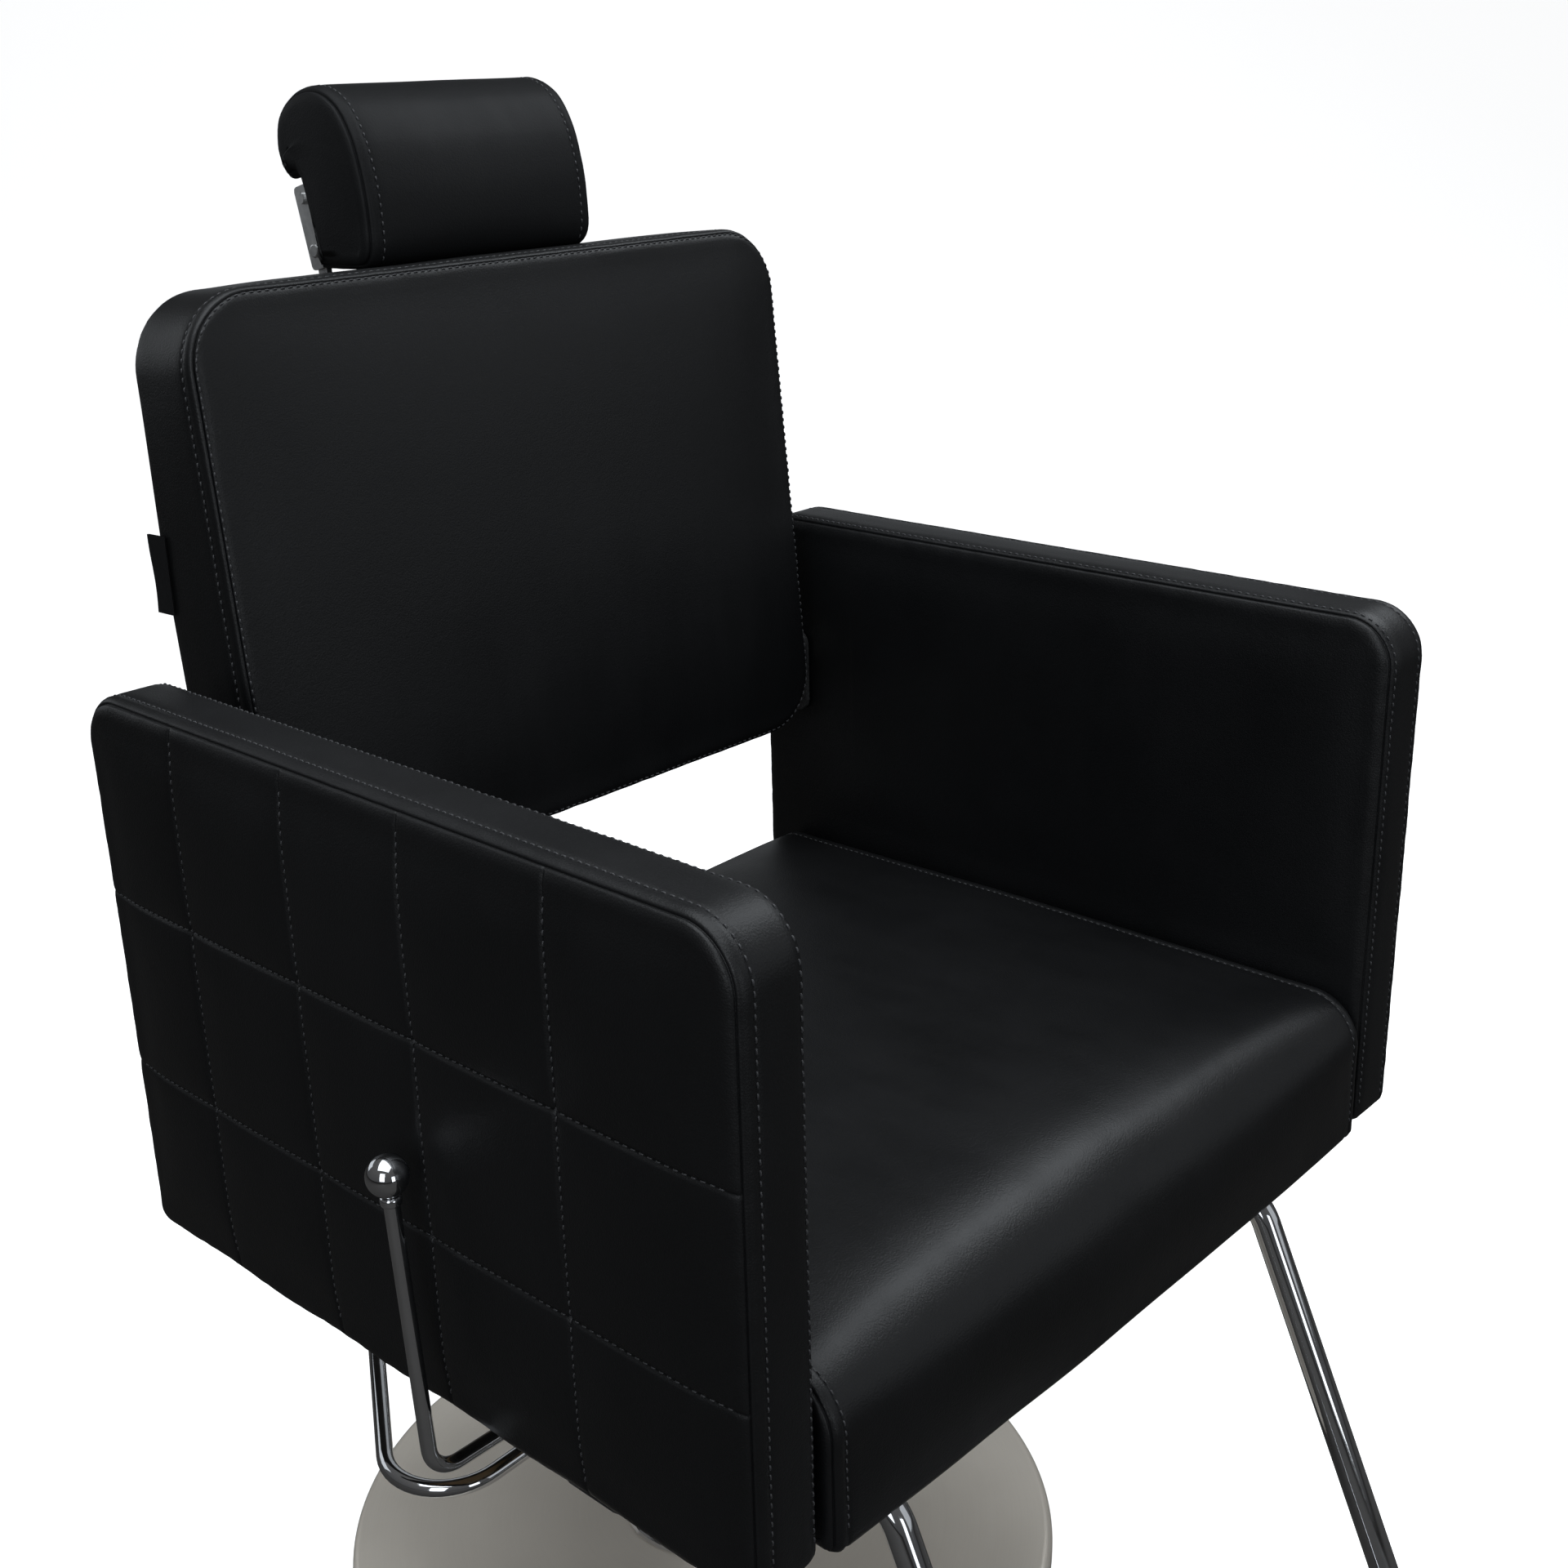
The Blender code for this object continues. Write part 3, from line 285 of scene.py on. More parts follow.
def leatherette(name, dusting, rough_low=0.36, shine=0.38):
    """Soft black coated hide: a fine grain, dulled and polished patches, a little dust on top."""
    made = Finish(name, Specular_IOR_Level=shine, Coat_Roughness=0.30)
    tone = made.effect(GRAIN, "Tone", Scale=HIDE_GRAIN)
    worn = made.effect(HANDLING, "Mask", Scale=5.0)
    film = made.effect(DUST, "Mask", Amount=dusting)
    rubbed = made.effect(WEAR, "Mask", Amount=0.5)
    deep = made.mix(tone, (0.0017, 0.0019, 0.0022, 1), (0.0028, 0.0030, 0.0035, 1))
    soft = made.mix(worn, deep, (0.0036, 0.0038, 0.0044, 1))
    edged = made.mix(rubbed, soft, (0.010, 0.0105, 0.012, 1))
    made.colour(made.mix(film, edged, (0.060, 0.060, 0.060, 1)))
    rough = made.ramp(worn, 0.0, 1.0, rough_low, rough_low + 0.09)
    rough = made.math("ADD", rough, made.math("MULTIPLY", film, 0.25))
    made.roughness(rough)
    made.set(made.shader.inputs["Coat Weight"], made.ramp(worn, 0.0, 1.0, 0.06, 0.0))
    made.bump(made.effect(GRAIN, "Height", Scale=HIDE_GRAIN), 0.16 * MM)
    return made.material


def thread():
    """Twisted bonded thread, a little shinier and lighter than the cover."""
    made = Finish("bonded_thread", Specular_IOR_Level=0.5, Sheen_Weight=0.1)
    twist = made.noise(made.place(), 3500.0, 1.0)
    made.colour(made.mix(twist, (0.012, 0.012, 0.0135, 1), (0.040, 0.040, 0.044, 1)))
    made.roughness(made.ramp(twist, 0.3, 0.7, 0.35, 0.6))
    made.bump(twist, 0.05 * MM)
    return made.material


def chrome():
    """Bright plating with faint wiping marks and a little dust in the layer."""
    made = Finish("polished_chrome", Metallic=1.0, Specular_IOR_Level=0.5)
    wiped = made.effect(HANDLING, "Mask", Scale=25.0)
    film = made.effect(DUST, "Mask", Amount=0.4)
    clear = made.mix(wiped, (0.64, 0.65, 0.67, 1), (0.73, 0.735, 0.75, 1))
    made.colour(made.mix(film, clear, (0.50, 0.49, 0.47, 1)))
    rough = made.ramp(wiped, 0.0, 1.0, 0.045, 0.10)
    made.roughness(made.math("ADD", rough, made.math("MULTIPLY", film, 0.25)))
    made.bump(made.noise(made.place(), 260.0, 2.0), 0.02 * MM, 0.3)
    return made.material


def brushed_cover_painted_reflection():
    """Brushed steel of the base cover in rings, with scuffs and smears: its warm tint is its own, and its
    pale brightness is a painted reflection of the bright room.
    """
    made = Finish("brushed_steel_painted_reflection", Metallic=0.30)
    lines = made.effect(BRUSHING, "Lines", Scale=BRUSH_LINES)
    smear = made.effect(HANDLING, "Mask", Scale=7.0)
    film = made.effect(DUST, "Mask", Amount=0.8)
    # The pale warm steel colours are partly the steel's own tint and partly a painted reflection of the
    # bright room.
    steel_and_reflection = made.mix(lines, (0.84, 0.77, 0.67, 1), (0.95, 0.89, 0.79, 1))
    steel_and_reflection = made.mix(made.math("MULTIPLY", smear, 0.35), steel_and_reflection, (0.95, 0.88, 0.78, 1))
    made.colour(made.mix(film, steel_and_reflection, (0.78, 0.71, 0.62, 1)))
    rough = made.ramp(lines, 0.25, 0.75, 0.26, 0.44)
    made.roughness(made.math("ADD", rough, made.math("MULTIPLY", smear, 0.10)))
    made.bump(made.effect(BRUSHING, "Height", Scale=BRUSH_LINES), 0.03 * MM, 0.6)
    return made.material


def zinc():
    """Bright zinc plate with its cloudy spangle."""
    made = Finish("zinc_plate", Metallic=0.95)
    spangle = made.cells(made.place(), 240.0)
    worn = made.effect(WEAR, "Mask", Amount=0.8)
    cloud = made.effect(HANDLING, "Mask", Scale=18.0)
    plate = made.mix(spangle, (0.50, 0.51, 0.52, 1), (0.66, 0.665, 0.67, 1))
    plate = made.mix(made.math("MULTIPLY", cloud, 0.4), plate, (0.58, 0.57, 0.54, 1))
    made.colour(made.mix(worn, plate, (0.75, 0.75, 0.74, 1)))
    made.roughness(made.ramp(cloud, 0.0, 1.0, 0.24, 0.42))
    made.bump(spangle, 0.03 * MM, 0.5)
    return made.material


def black_paint():
    """Powder coat: orange-peel skin, rubbed grey at its edges, dusty on top."""
    made = Finish("black_powder_coat", Metallic=0.0, Specular_IOR_Level=0.5)
    peel = made.noise(made.place(), 520.0, 2.0)
    worn = made.effect(WEAR, "Mask", Amount=0.7)
    film = made.effect(DUST, "Mask", Amount=0.9)
    coat = made.mix(peel, (0.007, 0.007, 0.008, 1), (0.012, 0.012, 0.013, 1))
    coat = made.mix(worn, coat, (0.07, 0.07, 0.07, 1))
    made.colour(made.mix(film, coat, (0.07, 0.067, 0.064, 1)))
    made.roughness(made.ramp(peel, 0.3, 0.7, 0.38, 0.38 + 0.14))
    made.bump(peel, 0.06 * MM)
    return made.material


def cast_iron():
    """Rough painted casting of the base weight."""
    made = Finish("painted_casting", Metallic=0.2)
    sand = made.noise(made.place(), 300.0, 6.0, 0.7)
    worn = made.effect(WEAR, "Mask", Amount=1.0)
    skin = made.mix(sand, (0.022, 0.022, 0.023, 1), (0.055, 0.054, 0.053, 1))
    made.colour(made.mix(worn, skin, (0.16, 0.15, 0.14, 1)))
    made.roughness(made.ramp(sand, 0.3, 0.7, 0.55, 0.8))
    made.bump(sand, 0.4 * MM)
    return made.material


def plywood():
    """Birch ply: face grain with pores, and its plies as dark and light bands on the edges."""
    made = Finish("birch_plywood", Specular_IOR_Level=0.3)
    figure = made.noise(made.place((2.0, 30.0, 2.0)), 9.0, 5.0, 0.6)
    pores = made.ramp(made.noise(made.place((20.0, 400.0, 20.0)), 3.0, 2.0), 0.60, 0.72)
    split = made.node("ShaderNodeSeparateXYZ")
    made.set(split.inputs[0], made.place())
    plies = made.math("SINE", made.math("MULTIPLY", split.outputs["Z"], 2100.0))
    surface = made.node("ShaderNodeNewGeometry")
    facing = made.node("ShaderNodeSeparateXYZ")
    made.set(facing.inputs[0], surface.outputs["Normal"])
    edge = made.ramp(made.math("ABSOLUTE", facing.outputs["Z"]), 0.3, 0.6, 1.0, 0.0)
    face = made.mix(figure, (0.42, 0.29, 0.16, 1), (0.60, 0.45, 0.28, 1))
    face = made.mix(made.math("MULTIPLY", pores, 0.5), face, (0.22, 0.14, 0.08, 1))
    band = made.math("MULTIPLY", edge, made.ramp(plies, -0.3, 0.3))
    made.colour(made.mix(made.math("MULTIPLY", band, 0.7), face, (0.20, 0.12, 0.06, 1)))
    made.roughness(made.ramp(figure, 0.3, 0.7, 0.55, 0.75))
    made.bump(made.math("ADD", figure, pores), 0.12 * MM)
    return made.material


def nylon():
    """Natural nylon bearing, slightly stained."""
    made = Finish("natural_nylon", Specular_IOR_Level=0.4, Subsurface_Weight=0.1)
    stain = made.effect(HANDLING, "Mask", Scale=40.0)
    made.colour(made.mix(stain, (0.60, 0.58, 0.52, 1), (0.45, 0.42, 0.36, 1)))
    made.roughness(made.ramp(stain, 0.0, 1.0, 0.42, 0.6))
    made.bump(made.noise(made.place(), 700.0, 2.0), 0.05 * MM)
    return made.material


def woven_tape():
    """Plain black woven tape of the side tag."""
    made = Finish("woven_tape", Specular_IOR_Level=0.2)
    threads = made.effect(WEAVE, "Height", Scale=7500.0)
    uneven = made.noise(made.place(), 300.0, 2.0)
    cloth = made.mix(threads, (0.0012, 0.0012, 0.0015, 1), (0.005, 0.005, 0.0055, 1))
    made.colour(made.mix(made.math("MULTIPLY", uneven, 0.5), cloth, (0.007, 0.007, 0.0075, 1)))
    made.roughness(made.ramp(uneven, 0.3, 0.7, 0.7, 0.9))
    made.bump(threads, 0.12 * MM)
    return made.material


def studio_floor():
    """Pale seamless backdrop paper."""
    made = Finish("backdrop_paper", Specular_IOR_Level=0.15)
    fibre = made.noise(made.place(), 3.0, 4.0)
    seen = made.node("ShaderNodeLightPath").outputs["Is Camera Ray"]
    paper = made.mix(fibre, (0.90, 0.90, 0.90, 1), (0.93, 0.93, 0.93, 1))
    made.colour(made.mix(seen, (0.070, 0.066, 0.062, 1), paper))
    made.roughness(made.ramp(fibre, 0.3, 0.7, 0.85, 0.95))
    made.shader.inputs["Emission Color"].default_value = (1, 1, 1, 1)
    made.set(made.shader.inputs["Emission Strength"], made.math("MULTIPLY", seen, 0.80))
    return made.material


# ---------------------------------------------------------------- upholstery shapes

def mesh_lines(low, high, step, seams=(), near=(0.6 * MM, 1.4 * MM, 3.0 * MM)):
    """Places for mesh lines from low to high, closer together beside each seam."""
    stops = {low, high}
    for seam in seams:
        stops.add(seam)
        stops.update(seam + side * gap for gap in near for side in (-1, 1))
    stops = sorted(s for s in stops if low <= s <= high)
    places = [stops[0]]
    for first, last in zip(stops, stops[1:]):
        count = max(1, math.ceil((last - first) / step))
        places += [first + (last - first) * i / count for i in range(1, count + 1)]
    return np.array(places)


def as_shares(places):
    return (places - places[0]) / (places[-1] - places[0])


def rounded_sides(a_lines, b_lines, radii):
    """Four sides of a rounded rectangle, anticlockwise from the low corner.
    They meet halfway round each corner; radii go low-low, high-low, high-high, low-high."""
    reach = max(radii)
    half_turn = 1 - math.sqrt(0.5)

    def side(places, level, inward, first, last):
        low, high = places[0], places[-1]
        start, end = low + half_turn * first, high - half_turn * last
        made = []
        for place in places:
            if place < low + reach:
                place = start + (place - low) * (low + reach - start) / reach
            elif place > high - reach:
                place = end - (high - place) * (end - high + reach) / reach
            drop = 0.0
            if place < low + first:
                drop = first - math.sqrt(first ** 2 - (low + first - place) ** 2)
            if place > high - last:
                drop = last - math.sqrt(last ** 2 - (place - high + last) ** 2)
            made.append((place, level + inward * drop))
        return np.array(made)

    bottom = side(a_lines, b_lines[0], 1, radii[0], radii[1])
    right = side(b_lines, a_lines[-1], -1, radii[1], radii[2])[:, ::-1]
    top = side(a_lines, b_lines[-1], -1, radii[3], radii[2])[::-1]
    left = side(b_lines, a_lines[0], 1, radii[0], radii[3])[::-1, ::-1]
    return [bottom, right, top, left]


def smooth_path(knots, steps):
    """Catmull-Rom curve through the knots."""
    points = [np.array(k, float) for k in knots]
    points = [2 * points[0] - points[1]] + points + [2 * points[-1] - points[-2]]
    made = [points[1]]
    for before, first, last, after in zip(points, points[1:], points[2:], points[3:]):
        for i in range(1, steps + 1):
            t = i / steps
            made.append(0.5 * (2 * first + (last - before) * t
                               + (2 * before - 5 * first + 4 * last - after) * t ** 2
                               + (3 * first - before - 3 * last + after) * t ** 3))
    return np.array(made)


def along_path(path, shares):
    """Points at those shares of the path's length."""
    run = np.concatenate([[0], np.cumsum(np.linalg.norm(np.diff(path, axis=0), axis=1))])
    return np.column_stack([np.interp(shares * run[-1], run, path[:, i]) for i in range(path.shape[1])])


def corner_arc(middle, radius, first, last, steps=8):
    turns = np.radians(np.linspace(first, last, steps + 1))
    return [(middle[0] + radius * math.cos(t), middle[1] + radius * math.sin(t)) for t in turns]


def bell(distance, width):
    return np.exp(-(distance / width) ** 2)


def ease(value, low, high):
    t = np.clip((value - low) / (high - low), 0, 1)
    return t * t * (3 - 2 * t)


def roll(distance, reach):
    """Rises from 0 at a seam to 1 at that reach, like the rounded border of a full cushion."""
    return 1 - (1 - np.clip(distance / reach, 0, 1)) ** 2


def crease_place(half, edge):
    """Where the crease lies on the across scale: halfway round the rounded edge."""
    return half - edge + edge * math.pi / 4


class Shell:
    """Closed surface of a pad: an outline (a, b) carried across w, its edges rounded, a patch over each end.
    across runs round the edge: it is w on the band, and goes on growing round the edge and onto the end."""

    def __init__(self, sides, shares, half, edge, stitches, step, fine, square=False):
        self.half, self.edge, self.square = half, edge, square
        self.crease = crease_place(half, edge)
        spread = (0, 12, 24, 33, 39, 43, 45, 47, 51, 57, 66, 78, 90) if fine else (0, 45, 90)
        turns = np.radians(spread)
        middle = mesh_lines(-half + edge, half - edge, step, stitches if fine else ())
        rows = [(-(half - edge + edge * math.sin(t)), edge * (1 - math.cos(t)), -(half - edge + edge * t))
                for t in turns[:0:-1]]
        rows += [(w, 0.0, w) for w in middle]
        rows += [(half - edge + edge * math.sin(t), edge * (1 - math.cos(t)), half - edge + edge * t)
                 for t in turns[1:]]
        ring = np.vstack([side[:-1] for side in sides])
        self.count = len(ring)
        step_round = np.roll(ring, -1, 0) - np.roll(ring, 1, 0)
        outward = np.column_stack([step_round[:, 1], -step_round[:, 0]])
        outward /= np.linalg.norm(outward, axis=1)[:, None]
        points = [np.column_stack([ring - outward * inset, np.full(self.count, w)]) for w, inset, _ in rows]
        across = [np.full(self.count, s) for _, _, s in rows]
        self.row_places = np.array([s for _, _, s in rows])
        faces = []
        for row in range(len(rows) - 1):
            for k in range(self.count):
                after = (k + 1) % self.count
                low, high = row * self.count, (row + 1) * self.count
                faces.append((low + k, low + after, high + after, high + k))
        self.caps = []
        first_ring, last_ring = points[0], points[-1]
        total = len(rows) * self.count
        for end in (-1, 1):
            base = 0 if end < 0 else (len(rows) - 1) * self.count
            grid, patch = self.patch(first_ring if end < 0 else last_ring, base, shares, total)
            total += len(patch)
            points.append(patch)
            across.append(np.full(len(patch), end * (half + 1.0)))
            for i in range(grid.shape[0] - 1):
                for j in range(grid.shape[1] - 1):
                    quad = (grid[i, j], grid[i + 1, j], grid[i + 1, j + 1], grid[i, j + 1])
                    faces.append(quad if end > 0 else quad[::-1])
            self.caps.append(grid)
        self.points = np.vstack(points)
        self.across = np.concatenate(across)
        self.faces = [tuple(int(i) for i in face) for face in faces]

    def patch(self, flat, base, shares, total):
        """Grid of vertex numbers over one end, and the new inner points, blended from the four sides.
        On a square pad the inner lines stay straight, and only bend close to the rounded corners."""
        u, v = shares
        nu, nv = len(u) - 1, len(v) - 1
        grid = np.zeros((nu + 1, nv + 1), int)
        for i in range(nu + 1):
            grid[i, 0] = i
            grid[i, nv] = nu + nv + (nu - i)
        for j in range(nv + 1):
            grid[nu, j] = nu + j
            grid[0, j] = (2 * nu + nv + (nv - j)) % self.count
        even = np.zeros((nu + 1, nv + 1, 3))
        fade_u, fade_v = (1 - u, u), (1 - v, v)
        if self.square:
            even[..., 0], even[..., 1], even[..., 2] = u[:, None], v[None, :], flat[0, 2]
            fade_u = (1 - ease(u, u[0], u[0] + CORNER_DECAY), ease(u, u[-1] - CORNER_DECAY, u[-1]))
            fade_v = (1 - ease(v, v[0], v[0] + CORNER_DECAY), ease(v, v[-1] - CORNER_DECAY, v[-1]))
        off = flat[grid] - even
        inner = even[1:-1, 1:-1].copy()
        for end, place in ((0, 0), (1, -1)):
            inner += fade_v[end][None, 1:-1, None] * off[1:-1, place][:, None]
            inner += fade_u[end][1:-1, None, None] * off[place, 1:-1][None, :]
            for other, corner in ((0, 0), (1, -1)):
                both = fade_u[end][1:-1, None, None] * fade_v[other][None, 1:-1, None]
                inner -= both * off[place, corner]
        grid[1:-1, 1:-1] = np.arange((nu - 1) * (nv - 1)).reshape(nu - 1, nv - 1) + total - base
        return grid + base, inner.reshape(-1, 3)

    def row(self, place):
        """Vertex numbers of the row nearest to a place on the across scale."""
        index = int(np.argmin(np.abs(self.row_places - place)))
        return np.arange(self.count) + index * self.count


def turn_faces_outward(mesh, merge=None):
    """Makes every face look outward, after joining vertices that lie closer than merge."""
    bm = bmesh.new()
    bm.from_mesh(mesh)
    if merge is not None:
        bmesh.ops.remove_doubles(bm, verts=bm.verts, dist=merge)
    bmesh.ops.recalc_face_normals(bm, faces=bm.faces)
    bm.to_mesh(mesh)
    bm.free()


def new_piece(name, points, faces, material):
    mesh = bpy.data.meshes.new(name)
    mesh.from_pydata([tuple(p) for p in points], [], faces)
    turn_faces_outward(mesh)
    mesh.shade_smooth()
    mesh.materials.append(material)
    made = bpy.data.objects.new(name, mesh)
    SCENE.collection.objects.link(made)
    return made


def vertex_places(mesh):
    places = np.zeros(len(mesh.vertices) * 3)
    mesh.vertices.foreach_get("co", places)
    return places.reshape(-1, 3)


def vertex_directions(mesh):
    mesh.update()
    directions = np.zeros(len(mesh.vertices) * 3)
    mesh.vertex_normals.foreach_get("vector", directions)
    return directions.reshape(-1, 3)


def inflate(shell, held, pressure):
    """Blows the shell up as a cloth bag that is held at some vertices. Returns how far each vertex moved."""
    bag = new_piece("bag", shell.points, shell.faces, None)
    group = bag.vertex_groups.new(name="held")
    group.add([int(i) for i in np.flatnonzero(held > 0.5)], 1.0, "REPLACE")
    cloth = bag.modifiers.new("puff", "CLOTH")
    settings = cloth.settings
    settings.quality = 5
    settings.mass = CLOTH_MASS
    settings.tension_stiffness = TENSION
    settings.compression_stiffness = COMPRESSION
    settings.shear_stiffness = SHEAR
    settings.bending_stiffness = BENDING
    settings.use_pressure = True
    settings.uniform_pressure_force = pressure
    settings.vertex_group_mass = "held"
    settings.pin_stiffness = PIN_STIFFNESS
    settings.effector_weights.gravity = 0
    for frame_number in range(1, PUFF_FRAMES + 1):
        SCENE.frame_set(frame_number)
    graph = bpy.context.evaluated_depsgraph_get()
    moved = vertex_places(bag.evaluated_get(graph).data) - shell.points
    mesh = bag.data
    bpy.data.objects.remove(bag)
    bpy.data.meshes.remove(mesh)
    SCENE.frame_set(1)
    return np.nan_to_num(moved)


def carry_over(coarse, moved, fine):
    """The coarse shell's movement, blended onto the fine shell's points from their four nearest."""
    tree = kdtree.KDTree(len(coarse))
    for i, point in enumerate(coarse):
        tree.insert(point, i)
    tree.balance()
    made = np.zeros_like(fine)
    for i, point in enumerate(fine):
        found = tree.find_n(point, 4)
        weights = np.array([1.0 / (distance + 0.2 * MM) ** 2 for _, _, distance in found])
        numbers = [index for _, index, _ in found]
        made[i] = weights @ moved[numbers] / weights.sum()
    return made


def relax(values, faces, share, rounds):
    """Averages each vertex's value with its neighbours', as far as its share allows."""
    quads = np.array(faces)
    pairs = np.vstack([quads[:, [i, (i + 1) % 4]] for i in range(4)])
    pairs = np.vstack([pairs, pairs[:, ::-1]])
    degree = np.bincount(pairs[:, 0], minlength=len(values))[:, None]
    for _ in range(rounds):
        total = np.zeros_like(values)
        for axis in range(3):
            total[:, axis] = np.bincount(pairs[:, 0], values[pairs[:, 1], axis], len(values))
        values = values * (1 - share[:, None]) + share[:, None] * total / degree
    return values


def unevenness(points, size, offset=0.0):
    """Smooth random values from -1 to 1 over the points, with lumps of that size."""
    shift = Vector((offset, 2 * offset, 3 * offset))
    return np.array([noise.noise(Vector(p) / size + shift) for p in points])


def upholster(name, build, limits, matrix, material, body, nodes, pressure, stitches, relief=None, lump=0.5,
              settle=None):
    """Makes one pad: the cloth is blown up, its travel is limited, then seams are pressed in.
    build(fine) gives the shell, limits(shell) the travel and hold of each vertex, relief(shell) what is
    pressed into the cover, settle(shell) how the pad sags. lump is its unevenness in mm."""
    coarse, fine = build(False), build(True)
    _, held = limits(coarse)
    moved = inflate(coarse, held, pressure)
    moved = carry_over(coarse.points, moved, fine.points)
    travel, held = limits(fine)
    length = np.linalg.norm(moved, axis=1) + 1e-9
    moved *= (travel * np.tanh(length / np.maximum(travel, 1e-6)) / length)[:, None]
    loose = np.where(held > 0.5, 0.0, 0.6)
    moved = relax(moved, fine.faces, loose, 14)
    if settle is not None:
        moved += settle(fine)
    made = new_piece(name, fine.points + moved, fine.faces, material)
    places, outward = vertex_places(made.data), vertex_directions(made.data)
    edge = np.abs(np.abs(fine.across) - fine.crease)
    height = -CREASE_DEPTH * bell(edge, CREASE_WIDTH)
    for place in stitches:
        line = np.abs(fine.across - place)
        height -= DIMPLE_DEPTH * bell(line, DIMPLE_WIDTH)
        between = np.abs(fine.across - (place + np.sign(place) * fine.crease) / 2)
        height += RIDGE_HEIGHT * bell(between, RIDGE_WIDTH)
    pucker = unevenness(fine.points, PUCKER_SIZE, 3.1) * (bell(edge, PUCKER_SIZE) + 0.1)
    lumps = unevenness(fine.points, LUMP_SIZE, 7.7) * ease(edge, 0, 15 * MM)
    height += PUCKER_DEPTH * pucker + lump * MM * lumps
    if relief is not None:
        height += relief(fine)
    places = places + outward * height[:, None]
    made.data.vertices.foreach_set("co", places.ravel())
    made.data.transform(matrix)
    turn_faces_outward(made.data)
    made.data.update()
    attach(made, body)
    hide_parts(*nodes)
    return made, fine


# ---------------------------------------------------------------- thread

def runs(flags):
    """Start and end of each unbroken run of true flags."""
    edges = np.flatnonzero(np.diff(np.concatenate([[0], flags.astype(int), [0]])))
    return list(zip(edges[::2], edges[1::2]))


def surface_lines(pad, numbers, keep=None):
    """Lines of (points, directions) over a pad, through these vertices in order, where keep(point) holds."""
    places, outward = vertex_places(pad.data)[numbers], vertex_directions(pad.data)[numbers]
    if keep is None:
        return [(places, outward)]
    flags = np.array([keep(p) for p in places])
    return [(places[first:last], outward[first:last]) for first, last in runs(flags) if last - first > 2]


def sew(name, lines, body):
    """Lays a row of short thread bars along each line, each dipping into the cover at both ends."""
    lengths = np.array([-0.5, -0.36, 0.0, 0.36, 0.5]) * STITCH_LENGTH
    heights = np.array([-1.2, 0.35, 0.75, 0.35, -1.2]) * THREAD
    widths = np.array([0.7, 1.0, 1.05, 1.0, 0.7]) * THREAD
    turns = np.linspace(0, 2 * math.pi, THREAD_SIDES, endpoint=False)
    last_ring = (len(lengths) - 1) * THREAD_SIDES
    points, faces = [], []
    for places, outward in lines:
        run = np.concatenate([[0], np.cumsum(np.linalg.norm(np.diff(places, axis=0), axis=1))])
        for k in range(int(run[-1] / STITCH_PITCH)):
            middle = (k + 0.5) * STITCH_PITCH
            here, ahead = (np.array([np.interp(middle + s, run, places[:, i]) for i in range(3)])
                           for s in (0, 0.5 * MM))
            up = np.array([np.interp(middle, run, outward[:, i]) for i in range(3)])
            forward = (ahead - here) / max(np.linalg.norm(ahead - here), 1e-9)
            up -= forward * (up @ forward)
            up /= max(np.linalg.norm(up), 1e-9)
            side = np.cross(forward, up)
            base = len(points)
            for shift, height, width in zip(lengths, heights, widths):
                centre = here + forward * shift + up * height
                points += [centre + width * (math.cos(t) * side + math.sin(t) * up) for t in turns]
            for ring in range(len(lengths) - 1):
                low, high = base + ring * THREAD_SIDES, base + (ring + 1) * THREAD_SIDES
                for j in range(THREAD_SIDES):
                    after = (j + 1) % THREAD_SIDES
                    faces.append((low + j, low + after, high + after, high + j))
            faces.append(tuple(base + j for j in reversed(range(THREAD_SIDES))))
            faces.append(tuple(base + last_ring + j for j in range(THREAD_SIDES)))
    made = new_piece(name, points, faces, THREAD_FINISH)
    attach(made, body)


# ---------------------------------------------------------------- finishes made once

HIDE = leatherette("soft_black_leatherette", 0.30, 0.40)
HIDE_TOP = leatherette("leatherette_seat", 0.20)
HIDE_MATT = leatherette("leatherette_headrest", 0.10, 0.58, 0.20)
THREAD_FINISH = thread()
CHROME = chrome()
FINISHES = {
    "leatherette": HIDE,
    "chrome": CHROME,
    "stainless": brushed_cover_painted_reflection(),
    "zinc_steel": zinc(),
    "black_steel": black_paint(),
    "cast_iron": cast_iron(),
    "plywood": plywood(),
    "nylon": nylon(),
    "label_cloth": woven_tape(),
}


# ---------------------------------------------------------------- arms

ARM_EDGE = 11 * MM
ARM_TOP_CORNER = 34 * MM
ARM_LOW_CORNER = 12 * MM
ARM_INSET = 0.8 * MM
ARM_OUTER_FULLNESS, ARM_INNER_FULLNESS, ARM_BAND_FULLNESS = 4.6 * MM, 3.2 * MM, 1.5 * MM
ARM_BORDER_ROLL = 26 * MM
ARM_SAG = 5.5 * MM
ARM_SAG_FRONT, ARM_SAG_REAR, ARM_SAG_REACH = -0.30, 0.10, 0.06
ARM_WAVE_HEIGHT, ARM_WAVES = 0.8 * MM, 55.0
QUILT_COLUMNS = (0.0708, -0.0380, -0.1403, -0.2518)
QUILT_ROWS = (0.5989, 0.4810)
QUILT_ROLL = 30 * MM
QUILT_DEPTH, QUILT_WIDTH = 1.0 * MM, 1.1 * MM
QUILT_HOLLOW, QUILT_HOLLOW_WIDTH = 0.3 * MM, 5 * MM
QUILT_BORDER = 9 * MM
OUTER_TOPSTITCH = 10 * MM
INNER_TOPSTITCH = 5 * MM


def nearest(values, seams):
    return np.min(np.abs(values[:, None] - np.array(seams)[None, :]), axis=1)


def from_border(a, b, a_ends, b_ends):
    """Distance inward from the nearest side of a rectangle."""
    return np.minimum(np.minimum(a - a_ends[0], a_ends[1] - a), np.minimum(b - b_ends[0], b_ends[1] - b))


